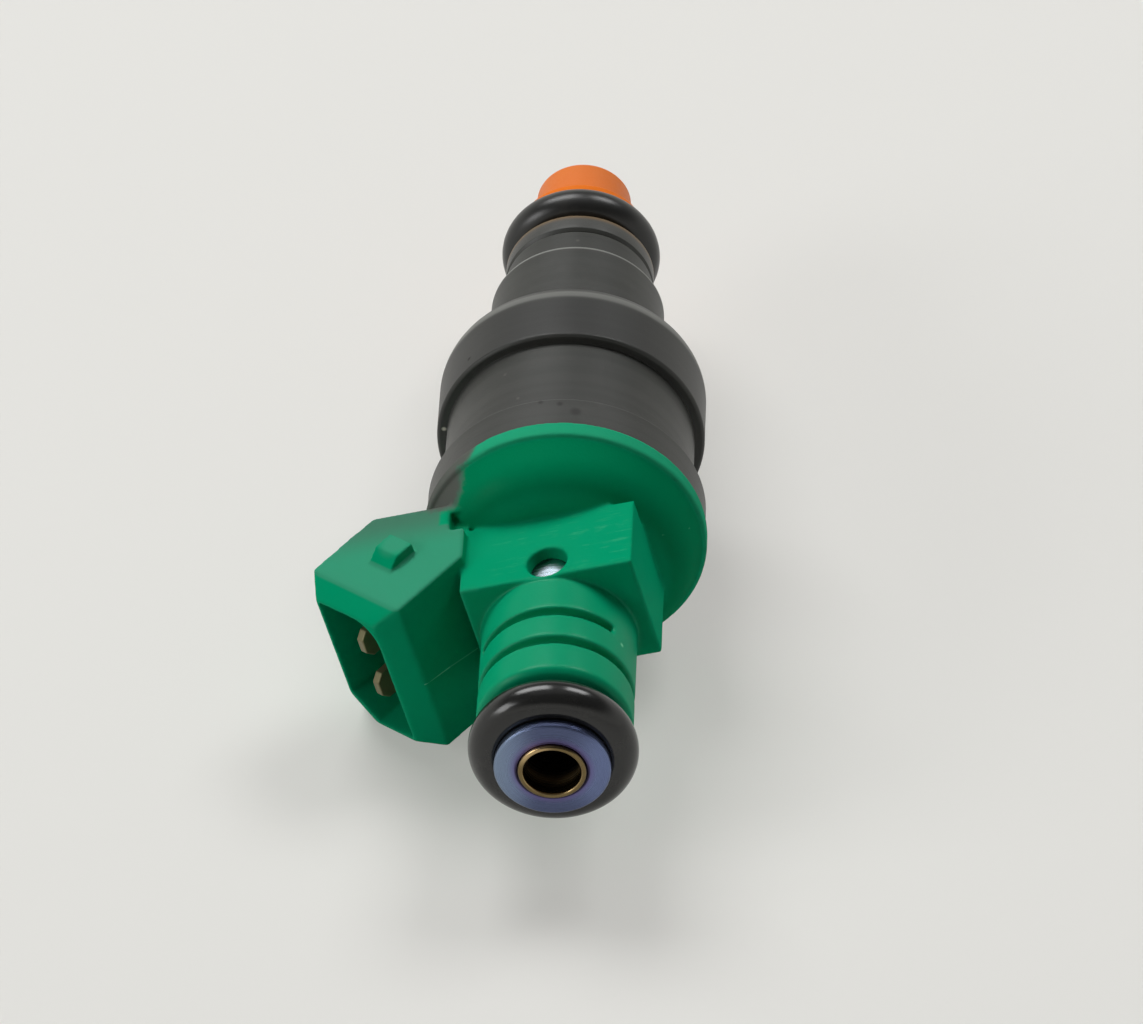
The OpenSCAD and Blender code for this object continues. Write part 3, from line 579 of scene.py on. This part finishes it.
# Nozzle end: the cap's thin wall from its start, and the support ring's stain from its end
CAP_THIN = span(3, 1.8)
STAINED_EDGE = span(-0.9, -0.3)

# Stations between the two outer seals, over which their gloss changes
SEAL_STATIONS = span(10, 60)

# Levels that most of a noise lies between
NOISE_RANGE = (0.3, 0.7)


class Finish:
    """A material in the making: its tree, its surface shader and the place on the piece."""

    def __init__(self, name, metallic=0.0):
        self.material = bpy.data.materials.new(name)
        self.material.use_nodes = True
        self.tree = self.material.node_tree
        self.surface = self.tree.nodes["Principled BSDF"]
        self.put("Metallic", metallic)
        self.place = add(self.tree, "ShaderNodeTexCoord").outputs["Object"]

    def effect(self, key, **values):
        """Places a shared effect and gives its outputs."""
        if key not in GROUPS:
            GROUPS[key] = EFFECTS[key]()
        made = add(self.tree, "ShaderNodeGroup", node_tree=GROUPS[key])
        self.tree.links.new(self.place, made.inputs["Position"])
        for socket, value in values.items():
            made.inputs[socket].default_value = value
        return made.outputs

    def put(self, socket, value):
        """Sets a value that is the same all over the surface."""
        self.surface.inputs[socket].default_value = value

    def feed(self, socket, value):
        """Links a value or colour that changes over the surface."""
        self.tree.links.new(value, self.surface.inputs[socket])

    def rough(self, noise, low, high):
        """Roughness between two levels, as a noise has it."""
        self.feed("Roughness", ramp(self.tree, noise, *NOISE_RANGE, low, high))

    def bump(self, *layers):
        """Layers of relief, each a height and a depth in metres."""
        normal = None
        for height, depth in layers:
            made = add(self.tree, "ShaderNodeBump", {"Height": height, "Distance": depth, "Strength": 1.0})
            if normal is not None:
                self.tree.links.new(normal, made.inputs["Normal"])
            normal = made.outputs[0]
        self.feed("Normal", normal)

    def near(self, point, full, none):
        """A mask round a point: 1 within the first distance and 0 beyond the second."""
        gap = vector_node(self.tree, "DISTANCE", self.place, point)
        return ramp(self.tree, gap.outputs["Value"], none, full)

    def line(self, start, end):
        """A mask along a thin straight scratch."""
        tree = self.tree
        run = Vector(end) - Vector(start)
        from_start = vector_node(tree, "SUBTRACT", self.place, start).outputs[0]
        along = vector_node(tree, "DOT_PRODUCT", from_start, run.normalized()).outputs["Value"]
        aside = vector_node(tree, "CROSS_PRODUCT", from_start, run.normalized()).outputs[0]
        gap = vector_node(tree, "LENGTH", aside).outputs["Value"]
        off_middle = math_node(tree, "ABSOLUTE", math_node(tree, "SUBTRACT", along, run.length / 2))
        within = math_node(tree, "LESS_THAN", off_middle, run.length / 2)
        return times(tree, ramp(tree, gap, *SCRATCH_FADE), within)

    def part(self, axis):
        """One coordinate of the place."""
        return add(self.tree, "ShaderNodeSeparateXYZ", {0: self.place}).outputs["XYZ".index(axis)]

    def height_over_face(self):
        """Height over the plane of the block's face, which leans with the plug socket."""
        height = vector_node(self.tree, "DOT_PRODUCT", self.place, MOUNTS["clip_groove"]["axis"])
        return math_node(self.tree, "SUBTRACT", height.outputs["Value"], BLOCK_FACE)

    def radius(self):
        """Distance from the valve's axis."""
        flat = vector_node(self.tree, "MULTIPLY", self.place, (1, 0, 1))
        return vector_node(self.tree, "LENGTH", flat.outputs[0]).outputs["Value"]

    def edge(self):
        """How far a softened mesh sank at a point, in voxels."""
        return add(self.tree, "ShaderNodeAttribute", attribute_name="edge").outputs["Fac"]


def green_plastic(colours):
    """Moulded plastic, with a painted highlight along its edges, a painted sheen on the disc's rim, and
    painted shade on the disc's cone.

    The neck has a sheen, the block's face has scuffs across it, the plug socket's top has a painted sheen
    that turns to a greyer painted reflection at its rear, and the disc's left end turns grey in a ragged
    patch. A few scratches lie on the socket and the disc.
    """
    finish = Finish("green moulded plastic")
    tree = finish.tree
    station = finish.part("Y")
    side = finish.part("X")
    over_face = finish.height_over_face()
    grain = finish.effect("grain", Scale=4200.0)
    body = mix(tree, times(tree, grain["Tone"], 0.06), colours.green, colours.green_tone_and_highlight)

    # Painted shade: the disc's cone turns a deeper green, fading out towards the plug socket's side
    cone = times(tree, ramp(tree, station, *CONE_START), ramp(tree, station, *CONE_END))
    body = mix(tree, times(tree, cone, ramp(tree, side, *CONE_SIDE)), body, colours.green_painted_shade)

    # Painted sheen on the upward faces of the plug socket's top and the latch's top, greyer at the rear as a
    # painted reflection
    off_top = math_node(tree, "ABSOLUTE", math_node(tree, "SUBTRACT", over_face, SOCKET_STEP))
    on_top = ramp(tree, off_top, *TOP_FADE)
    top_sheen = larger(tree, on_top, finish.near(LATCH_TOP, *LATCH_TOP_FADE))
    off_disc = larger(tree, ramp(tree, station, *TOP_BEFORE_DISC), ramp(tree, side, *TOP_BESIDE_DISC))
    top_sheen = times(tree, times(tree, top_sheen, off_disc), ramp(tree, side, *TOP_FROM_BLOCK))
    # Painted reflection: the rear of the socket's top turns greyer
    dull = times(tree, on_top, ramp(tree, station, *TOP_REAR_REFLECTION))
    toned = mix(tree, top_sheen, body, mix(tree, dull, colours.green_top_sheen, colours.green_greyed))
    # Painted sheen: the disc's rim turns half pale green
    toned = mix(tree, ramp(tree, station, *RIM_START, 0.0, 0.5), toned, colours.green_tone_and_highlight)

    streaks = finish.effect("streaks", Scale=2600.0)
    on_face = ramp(tree, math_node(tree, "ABSOLUTE", over_face), *BLOCK_FACE_FADE)
    scuffs = times(tree, times(tree, streaks["Mask"], on_face), finish.near(SCUFFED_AT, *SCUFFED_FADE))
    toned = mix(tree, times(tree, scuffs, 0.11), toned, colours.green_scuffed)
    # Painted highlight: where the softened mesh sank at an outer edge, the green turns paler
    toned = mix(tree, ramp(tree, finish.edge(), 0.15, 1.0, 0.0, 0.45), toned, colours.green_tone_and_highlight)
    for start, end, strength in SCRATCHES:
        toned = mix(tree, times(tree, finish.line(start, end), strength), toned, colours.green_scuffed)
    toned = mix(tree, finish.near(NICK_AT, *DOT_FADE), toned, colours.green_scuffed)

    # The disc's left end turns grey-green, then grey, in a ragged patch
    grey_patch = 0.0
    for place, fade in GREY_PATCHES:
        grey_patch = larger(tree, finish.near(place, *fade), grey_patch)
    ragged = noise(tree, finish.place, 2200.0, 3.0)
    grey_patch = math_node(tree, "ADD", grey_patch, times(tree, ragged, 0.5))
    toned = mix(tree, ramp(tree, grey_patch, 0.35, 0.75), toned, colours.green_greyed)
    finish.feed("Base Color", mix(tree, ramp(tree, grey_patch, 0.5, 1.1, 0.0, 0.94), toned, colours.shell_worn))

    neck = times(tree, ramp(tree, station, *NECK_END), ramp(tree, finish.radius(), *NECK_WALL))
    finish.feed("Coat Weight", ramp(tree, neck, 0.0, 1.0, 0.03, 0.25))
    finish.put("Coat Roughness", 0.32)
    finish.rough(grain["Height"], 0.44, 0.56)
    finish.bump((grain["Height"], 0.000012))
    finish.put("Specular IOR Level", 0.0)
    finish.put("Subsurface Weight", 0.08)
    finish.put("Subsurface Radius", (0.0004, 0.0016, 0.001))
    return finish.material


def dark_coating(colours):
    """Dark satin coating with faint turning rings, a darker wide ring, rubs, dark stains, and painted
    highlights, partly wear, on its edges.
    """
    finish = Finish("dark coated steel")
    finish.put("Specular IOR Level", 0.38)
    tree = finish.tree
    along = finish.part("Y")
    rings = finish.effect("turning", Density=14000.0)
    grain = finish.effect("grain", Scale=3800.0)
    marks = finish.effect("specks", Scale=700.0)
    tone = math_node(tree, "ADD", times(tree, rings["Tone"], 0.08), times(tree, marks["Rubs"], 0.16))
    worn = mix(tree, tone, colours.shell, colours.shell_worn)
    wide_ring = times(tree, ramp(tree, along, *WIDE_RING_START), ramp(tree, along, *WIDE_RING_END))
    worn = mix(tree, times(tree, wide_ring, 0.6), worn, colours.rubber)
    # Painted highlights, partly wear: pale bands at the shoulder, the shell's end and the crimp's edge
    for station, reach, strength in WORN_AND_LIT_BANDS:
        away = math_node(tree, "ABSOLUTE", math_node(tree, "SUBTRACT", along, station))
        worn = mix(tree, ramp(tree, away, reach, 0.3 * reach, 0.0, strength), worn, colours.shell_wear_highlight)
    stained = 0.0
    for place, size in STAINS:
        stained = larger(tree, finish.near(place, 0.3 * size, 1.2 * size), stained)
    worn = mix(tree, times(tree, stained, 0.6), worn, colours.filter)
    worn = mix(tree, finish.near(SPECK_AT, *DOT_FADE), worn, colours.nylon)
    finish.feed("Base Color", mix(tree, times(tree, marks["Specks"], 0.2), worn, colours.rubber_dust))
    roughness = ramp(tree, rings["Height"], *NOISE_RANGE, 0.38, 0.5)
    finish.feed("Roughness", math_node(tree, "ADD", roughness, times(tree, stained, 0.2)))
    finish.bump((rings["Height"], 0.000003), (grain["Height"], 0.000008))
    return finish.material


def black_rubber(colours):
    """Smooth moulded rubber with specks of dust, glossier on the rail's seal than on the manifold's."""
    finish = Finish("black rubber")
    tree = finish.tree
    grain = finish.effect("grain", Scale=2600.0)
    marks = finish.effect("specks", Scale=1400.0)
    dusty = math_node(tree, "ADD", times(tree, marks["Specks"], 0.35), times(tree, marks["Rubs"], 0.1))
    finish.feed("Base Color", mix(tree, dusty, colours.rubber, colours.rubber_dust))
    finish.feed("Roughness", ramp(tree, finish.part("Y"), *SEAL_STATIONS, 0.2, 0.32))
    finish.bump((grain["Height"], 0.000003))
    return finish.material


def blue_zinc(colours):
    """Blue plating: violet round the hole, painted reflections on the flange, painted shade in the gap round
    the collar, and pale inside the moulding.
    """
    finish = Finish("blue zinc plate", 1.0)
    tree = finish.tree
    side = finish.part("X")
    up = finish.part("Z")
    radius = finish.radius()
    rings = finish.effect("turning", Density=9000.0)
    # Painted reflection: the flange turns darker at its top and foot and lighter on its left
    upright = math_node(tree, "SUBTRACT", math_node(tree, "ABSOLUTE", up), math_node(tree, "ABSOLUTE", side))
    outside = mix(tree, ramp(tree, upright, *FLANGE_UPRIGHT, 0.0, 0.9), colours.zinc, colours.zinc_dark_reflection)
    outside = mix(tree, ramp(tree, side, *FLANGE_LEFT, 0.0, 0.7), outside, colours.zinc_lit_reflection)
    uneven = ramp(tree, rings["Tone"], 0.0, 1.0, 0.5, 1.0)
    tint = times(tree, ramp(tree, radius, *beyond(HOLE, VIOLET_RING)), uneven)
    outside = mix(tree, tint, outside, colours.zinc_violet)
    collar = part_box("filter_collar")[1].x
    # Painted shade: the gap round the collar is darkened, most at its foot
    gap = times(tree, ramp(tree, radius, *beyond(collar, SHADE_GAP_RING)), ramp(tree, up, *SHADE_GAP_FOOT, 0.25, 0.9))
    outside = mix(tree, gap, outside, colours.filter)
    inside = ramp(tree, finish.part("Y"), *TUBE_INSIDE)
    finish.feed("Base Color", mix(tree, inside, outside, colours.zinc_pale))
    finish.rough(rings["Height"], 0.24, 0.36)
    finish.bump((times(tree, rings["Height"], ramp(tree, inside, 0.0, 1.0, 1.0, 0.0)), 0.00003))
    return finish.material


def drawn_brass(colours):
    """Drawn brass with tarnish, a painted highlight at its upper left and along its inner rim, and dull and
    dark deep in the bore.
    """
    finish = Finish("drawn brass")
    tree = finish.tree
    rings = finish.effect("turning", Density=11000.0)
    marks = finish.effect("specks", Scale=1600.0)
    deep = ramp(tree, finish.part("Y"), *BORE_DEEP)
    # Painted highlight: the collar's inner rim and upper left turn bright brass
    rim = ramp(tree, finish.radius(), *beyond(HOLE, COLLAR_RIM), 0.0, 0.5)
    rubbed = larger(tree, finish.near(COLLAR_HIGHLIGHT_AT, *COLLAR_HIGHLIGHT_FADE), rim)
    tarnished = mix(tree, times(tree, marks["Rubs"], 0.5), colours.brass, colours.brass_dark)
    toned = mix(tree, rubbed, tarnished, colours.brass_highlight)
    finish.feed("Base Color", mix(tree, deep, toned, colours.filter))
    finish.feed("Metallic", ramp(tree, deep, 0.0, 1.0, 1.0, 0.0))
    finish.rough(rings["Height"], 0.16, 0.3)
    finish.bump((rings["Height"], 0.000006))
    return finish.material


def tinned_bronze(colours):
    """Stamped bronze with a dull tin coat, bright along its sheared edges."""
    finish = Finish("tinned bronze", 0.55)
    tree = finish.tree
    grain = finish.effect("grain", Scale=5200.0)
    worn = ramp(tree, finish.edge(), 0.2, 0.9)
    finish.feed("Base Color", mix(tree, worn, colours.blade, colours.blade_bright))
    finish.feed("Roughness", ramp(tree, grain["Tone"], 0.0, 1.0, 0.42, 0.58))
    finish.bump((grain["Height"], 0.000006))
    return finish.material


def orange_plastic(colours):
    """Satin moulded plastic, deeper in colour where the cap's wall is thin."""
    finish = Finish("orange moulded plastic")
    tree = finish.tree
    grain = finish.effect("grain", Scale=3600.0)
    thin = ramp(tree, finish.part("Y"), *beyond(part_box("pintle_cap")[0].y, CAP_THIN))
    toned = math_node(tree, "ADD", times(tree, grain["Tone"], 0.12), thin)
    finish.feed("Base Color", mix(tree, toned, colours.orange, colours.orange_deep))
    finish.rough(grain["Height"], 0.4, 0.52)
    finish.bump((grain["Height"], 0.00001))
    finish.put("Specular IOR Level", 0.2)
    finish.put("Subsurface Weight", 0.1)
    finish.put("Subsurface Radius", (0.002, 0.0008, 0.0003))
    return finish.material


def stained_coating(colours):
    """The support ring: the dark coating with a brown stain on its edge beside the seal."""
    finish = Finish("stained coated steel")
    tree = finish.tree
    rings = finish.effect("turning", Density=14000.0)
    stain = ramp(tree, finish.part("Y"), *beyond(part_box("support_ring")[1].y, STAINED_EDGE))
    base = mix(tree, times(tree, rings["Tone"], 0.22), colours.shell, colours.shell_worn)
    finish.feed("Base Color", mix(tree, stain, base, colours.brown))
    finish.rough(rings["Height"], 0.36, 0.5)
    finish.bump((rings["Height"], 0.000008))
    return finish.material


def ground_steel(colours):
    """Ground steel with fine rings and dull patches."""
    finish = Finish("ground steel", 1.0)
    tree = finish.tree
    rings = finish.effect("turning", Density=16000.0)
    marks = finish.effect("specks", Scale=800.0)
    finish.feed("Base Color", mix(tree, times(tree, marks["Rubs"], 0.3), colours.steel, colours.shell_worn))
    finish.rough(rings["Height"], 0.2, 0.38)
    finish.bump((rings["Height"], 0.000006))
    return finish.material


def wave(finish, scale, direction):
    """Close even ribs along one of the frame's axes."""
    made = add(finish.tree, "ShaderNodeTexWave", {"Vector": finish.place, "Scale": scale},
               bands_direction=direction)
    return made.outputs["Fac"]


def wound_copper(colours):
    """Enamelled wire: close turns round the axis."""
    finish = Finish("wound copper", 1.0)
    tree = finish.tree
    turns = wave(finish, 1000.0, "Y")
    finish.feed("Base Color", mix(tree, turns, colours.brass_dark, colours.copper))
    finish.feed("Roughness", ramp(tree, turns, 0.0, 1.0, 0.45, 0.25))
    finish.bump((turns, 0.0001))
    return finish.material


def natural_nylon(colours):
    """Pale moulded nylon with a slow change of tone."""
    finish = Finish("natural nylon")
    tree = finish.tree
    grain = finish.effect("grain", Scale=3000.0)
    finish.feed("Base Color", mix(tree, times(tree, grain["Tone"], 0.2), colours.nylon, colours.rubber_dust))
    finish.rough(grain["Height"], 0.42, 0.58)
    finish.bump((grain["Height"], 0.00001))
    return finish.material


def filter_weave(colours):
    """Dark woven screen: a square weave seen as crossing ribs."""
    finish = Finish("filter weave")
    tree = finish.tree
    weave = larger(tree, wave(finish, 2600.0, "Y"), wave(finish, 2600.0, "X"))
    finish.feed("Base Color", mix(tree, times(tree, weave, 0.3), colours.filter, colours.rubber_dust))
    finish.feed("Roughness", ramp(tree, weave, 0.0, 1.0, 0.7, 0.4))
    finish.bump((weave, 0.00006))
    return finish.material


MAKERS = {"plated_steel": blue_zinc, "brass": drawn_brass, "nylon": natural_nylon, "rubber": black_rubber,
          "green_plastic": green_plastic, "tinned_bronze": tinned_bronze, "bare_steel": ground_steel,
          "copper": wound_copper, "dark_steel": dark_coating, "orange_plastic": orange_plastic,
          "stained_steel": stained_coating, "filter": filter_weave}
MADE = {}


def material(key):
    """The finish of that name, made when it is first asked for."""
    if key not in MADE:
        MADE[key] = MAKERS[key](bpy.context.scene.injector_finishes)
    return MADE[key]


def finish_node(node, key):
    """Gives a node that keeps its solid a finish."""
    mesh = frame["nodes"][node].data
    mesh.materials.clear()
    mesh.materials.append(material(key))


# Operators


class INJECTOR_OT_inlet(bpy.types.Operator):
    """Spin the inlet tube and the filter's collar, and finish the filter"""
    bl_idname = "injector.inlet"
    bl_label = "Inlet"

    def execute(self, context):
        shapes = context.scene.injector_shapes
        turned_piece("inlet", "inlet_tube", shapes.tube_edge, material("plated_steel"), "plated_steel")
        turned_piece("inlet_collar", "filter_collar", shapes.collar_edge, material("brass"), "brass")
        for node in ("filter_basket", "filter_screen"):
            finish_node(node, "filter")
        return {"FINISHED"}


class INJECTOR_OT_seals(bpy.types.Operator):
    """Spin the two outer sealing rings"""
    bl_idname = "injector.seals"
    bl_label = "Outer seals"

    def execute(self, context):
        shapes = context.scene.injector_shapes
        for name, node in (("rail_seal", "rail_o_ring"), ("manifold_seal", "nozzle_o_ring")):
            dims = MOUNTS[name]["dims"]
            section = dims["length_mm"] * MM / 2
            middle = (0, MOUNTS[name]["pos_m"][1], dims["r_mm"] * MM - section)
            bm = bmesh.new()
            bmesh.ops.create_circle(bm, segments=shapes.seal_steps, radius=section,
                                    matrix=Matrix.Translation(middle) @ Matrix.Rotation(math.pi / 2, 4, "Y"))
            spin_section(bm, shapes.spin_steps)
            new_piece(name, mesh_from(bm, name), material("rubber"), "rubber", node)
        return {"FINISHED"}


class INJECTOR_OT_moulding(bpy.types.Operator):
    """Soften the plastic moulding: neck, block, disc and plug socket in one piece"""
    bl_idname = "injector.moulding"
    bl_label = "Moulding"

    def execute(self, context):
        shapes = context.scene.injector_shapes
        bm = merged_copy("plug_socket")
        sink = Vector(MOUNTS["harness_socket"]["axis"]) * -SOCKET_SINK * shapes.moulding_voxel
        bmesh.ops.translate(bm, verts=bm.verts, vec=sink)
        bm.from_mesh(frame["nodes"]["connector_moulding"].data)
        bmesh.ops.remove_doubles(bm, verts=bm.verts, dist=MERGE)
        more = ((self.off_block_end, shapes.moulding_passes), (self.on_socket, shapes.socket_passes))
        mesh = softened_mesh(bm, "moulding", shapes.moulding_voxel, LIGHT_PASSES, shapes.moulding_share, more)
        new_piece("moulding", mesh, material("green_plastic"), "green_plastic",
                  "connector_moulding", "plug_socket")
        return {"FINISHED"}

    def off_latch(self, place):
        return (place - Vector(LATCH_AT)).length > LATCH_REACH

    def off_block_end(self, place):
        return self.off_latch(place) and not BLOCK_END[0] < place.y < BLOCK_END[1]

    def on_socket(self, place):
        return place.x < SOCKET_SIDE and self.off_latch(place)


class INJECTOR_OT_blades(bpy.types.Operator):
    """Soften the two blade terminals"""
    bl_idname = "injector.blades"
    bl_label = "Blades"

    def execute(self, context):
        shapes = context.scene.injector_shapes
        for name, node in (("blade_upper", "terminal_upper"), ("blade_lower", "terminal_lower")):
            mesh = softened_mesh(merged_copy(node), name, shapes.blade_voxel, shapes.blade_passes)
            new_piece(name, mesh, material("tinned_bronze"), "tinned_bronze", node)
        return {"FINISHED"}


class INJECTOR_OT_shell(bpy.types.Operator):
    """Spin the steel shell"""
    bl_idname = "injector.shell"
    bl_label = "Shell"

    def execute(self, context):
        shapes = context.scene.injector_shapes
        turned_piece("shell", "body_shell", shapes.shell_edge, material("dark_steel"), "dark_steel")
        return {"FINISHED"}


class INJECTOR_OT_nozzle(bpy.types.Operator):
    """Spin the nozzle body, the support ring and the pintle cap"""
    bl_idname = "injector.nozzle"
    bl_label = "Nozzle"

    def execute(self, context):
        shapes = context.scene.injector_shapes
        turned_piece("nozzle", "nozzle_body", shapes.nozzle_edge, material("dark_steel"), "dark_steel")
        turned_piece("support", "support_ring", shapes.support_edge, material("stained_steel"), "dark_steel")
        turned_piece("cap", "pintle_cap", shapes.cap_edge, material("orange_plastic"), "orange_plastic")
        return {"FINISHED"}


INNER_FINISHES = {
    "pole_plate": "bare_steel", "bobbin": "nylon", "coil_winding": "copper", "coil_leads": "copper",
    "upper_coil_seal": "rubber", "lower_coil_seal": "rubber", "adjusting_tube": "bare_steel",
    "armature": "bare_steel", "valve_needle": "bare_steel", "lift_shim": "bare_steel",
    "lift_stop_plate": "bare_steel", "nozzle_seal": "rubber",
}


class INJECTOR_OT_inner_works(bpy.types.Operator):
    """Wind the return spring and finish the pieces inside the valve"""
    bl_idname = "injector.inner_works"
    bl_label = "Inner works"

    def execute(self, context):
        shapes = context.scene.injector_shapes
        low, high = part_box("return_spring")
        wire = shapes.spring_wire / 2
        steps = TURN_STEPS * shapes.spring_turns
        bm = bmesh.new()
        bmesh.ops.create_circle(bm, segments=WIRE_STEPS, radius=wire, cap_ends=False,
                                matrix=Matrix.Translation((0, low.y + wire, high.z - wire))
                                @ Matrix.Rotation(math.pi / 2, 4, "Y"))
        first = bm.edges[:]
        wound = bmesh.ops.spin(bm, geom=bm.verts[:] + first, cent=(0, 0, 0), axis=AXIS,
                               dvec=(0, (high.y - low.y - 2 * wire) / steps, 0),
                               angle=math.tau * shapes.spring_turns, steps=steps)
        last = [item for item in wound["geom_last"] if isinstance(item, bmesh.types.BMEdge)]
        bmesh.ops.edgeloop_fill(bm, edges=first)
        bmesh.ops.edgeloop_fill(bm, edges=last)
        bmesh.ops.recalc_face_normals(bm, faces=bm.faces)
        mesh = mesh_from(bm, "closing_spring")
        spring = new_piece("closing_spring", mesh, material("bare_steel"), "bare_steel", "return_spring")
        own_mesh(spring)
        for node, key in INNER_FINISHES.items():
            finish_node(node, key)
        return {"FINISHED"}


def lamp(name, place, aim, size, watts):
    """A soft rectangular lamp that points at its aim."""
    data = bpy.data.lights.new(name, "AREA")
    data.shape = "RECTANGLE"
    data.size, data.size_y = size
    data.energy = watts
    made = bpy.data.objects.new(name, data)
    made.location = place
    made.rotation_euler = (Vector(aim) - Vector(place)).to_track_quat("-Z", "Y").to_euler()
    bpy.context.scene.collection.objects.link(made)


def seen_rays(tree):
    """1 for rays that show the background: from the camera, through glass or off a glossy surface."""
    rays = add(tree, "ShaderNodeLightPath").outputs
    direct = larger(tree, rays["Is Camera Ray"], rays["Is Transmission Ray"])
    return larger(tree, direct, rays["Is Glossy Ray"])


def blend_shaders(tree, share, first, second):
    """Mixes the shaders of two nodes."""
    made = add(tree, "ShaderNodeMixShader", {0: share, 1: first.outputs[0], 2: second.outputs[0]})
    return made.outputs[0]


class INJECTOR_OT_stage(bpy.types.Operator):
    """Lay the floor and set the lamps, the even light and the camera"""
    bl_idname = "injector.stage"
    bl_label = "Stage"

    def execute(self, context):
        stage = context.scene.injector_stage
        low, high = CAD_BOX
        bm = bmesh.new()
        bmesh.ops.create_grid(bm, x_segments=1, y_segments=1, size=stage.floor_size / 2,
                              matrix=Matrix.Translation((0, 0, low[2])))
        floor = bpy.data.objects.new("floor", mesh_from(bm, "floor"))
        floor.data.materials.append(self.floor_material(stage))
        context.scene.collection.objects.link(floor)
        middle = (Vector(low) + Vector(high)) / 2
        for name, (place, aim, size) in LAMPS.items():
            lamp(f"{name} lamp", middle + Vector(place), middle + Vector(aim), size, getattr(stage, name))
        self.set_sky(context.scene, stage)
        self.set_camera(context.scene, stage)
        context.scene.view_settings.view_transform = "Standard"
        return {"FINISHED"}

    def floor_material(self, stage):
        """A matt floor that shows the camera a share of its own paleness, which lifts its shadows."""
        finish = Finish("pale floor")
        tree = finish.tree
        grain = finish.effect("grain", Scale=900.0)
        darker = tuple(0.94 * part for part in stage.floor)
        finish.feed("Base Color", mix(tree, times(tree, grain["Tone"], 0.04), stage.floor, darker))
        finish.put("Roughness", 0.6)
        finish.put("Specular IOR Level", 0.1)
        own = add(tree, "ShaderNodeEmission", {"Color": (*stage.floor_seen, 1), "Strength": 1.0})
        share = times(tree, seen_rays(tree), stage.floor_lift)
        blended = blend_shaders(tree, share, finish.surface, own)
        tree.links.new(blended, tree.nodes["Material Output"].inputs["Surface"])
        return finish.material

    def set_sky(self, scene, stage):
        """Even light from all round, and a pale backdrop under a dark ceiling where the background shows."""
        world = bpy.data.worlds.new("even light")
        world.use_nodes = True
        tree = world.node_tree
        around = tree.nodes["Background"]
        around.inputs["Color"].default_value = (1, 1, 1, 1)
        around.inputs["Strength"].default_value = stage.sky
        direction = add(tree, "ShaderNodeTexCoord").outputs["Generated"]
        upward = add(tree, "ShaderNodeSeparateXYZ", {0: direction}).outputs[2]
        backdrop = mix(tree, ramp(tree, upward, *CEILING_FADE), stage.floor_seen, stage.ceiling)
        behind = add(tree, "ShaderNodeBackground", {"Color": backdrop, "Strength": 1.0})
        blended = blend_shaders(tree, seen_rays(tree), around, behind)
        tree.links.new(blended, tree.nodes["World Output"].inputs["Surface"])
        scene.world = world

    def set_camera(self, scene, stage):
        """The camera at the photograph's viewing angle."""
        data = bpy.data.cameras.new("camera")
        data.lens = stage.camera_lens
        data.sensor_width = SENSOR_MM
        data.clip_start = NEAREST
        camera = bpy.data.objects.new("camera", data)
        camera.location = stage.camera_place
        camera.rotation_euler = Vector(stage.camera_aim).to_track_quat("-Z", "Y").to_euler()
        scene.collection.objects.link(camera)
        scene.camera = camera


STEPS = (INJECTOR_OT_stage, INJECTOR_OT_inlet, INJECTOR_OT_seals, INJECTOR_OT_moulding, INJECTOR_OT_blades,
         INJECTOR_OT_shell, INJECTOR_OT_nozzle, INJECTOR_OT_inner_works)


class INJECTOR_PT_looks(bpy.types.Panel):
    """Lists the steps that dress the injector"""
    bl_label = "Fuel injector"
    bl_idname = "INJECTOR_PT_looks"
    bl_space_type = "VIEW_3D"
    bl_region_type = "UI"
    bl_category = "Injector"

    def draw(self, context):
        for step in STEPS:
            self.layout.operator(step.bl_idname)


CLASSES = (InjectorShapes, InjectorFinishes, InjectorStage, *STEPS, INJECTOR_PT_looks)


def register():
    for item in CLASSES:
        bpy.utils.register_class(item)
    bpy.types.Scene.injector_shapes = PointerProperty(type=InjectorShapes)
    bpy.types.Scene.injector_finishes = PointerProperty(type=InjectorFinishes)
    bpy.types.Scene.injector_stage = PointerProperty(type=InjectorStage)


def unregister():
    del bpy.types.Scene.injector_stage
    del bpy.types.Scene.injector_finishes
    del bpy.types.Scene.injector_shapes
    for item in reversed(CLASSES):
        bpy.utils.unregister_class(item)


def main():
    register()
    bpy.ops.injector.stage()
    bpy.ops.injector.inlet()
    bpy.ops.injector.seals()
    bpy.ops.injector.moulding()
    bpy.ops.injector.blades()
    bpy.ops.injector.shell()
    bpy.ops.injector.nozzle()
    bpy.ops.injector.inner_works()


if __name__ == "__main__":
    main()
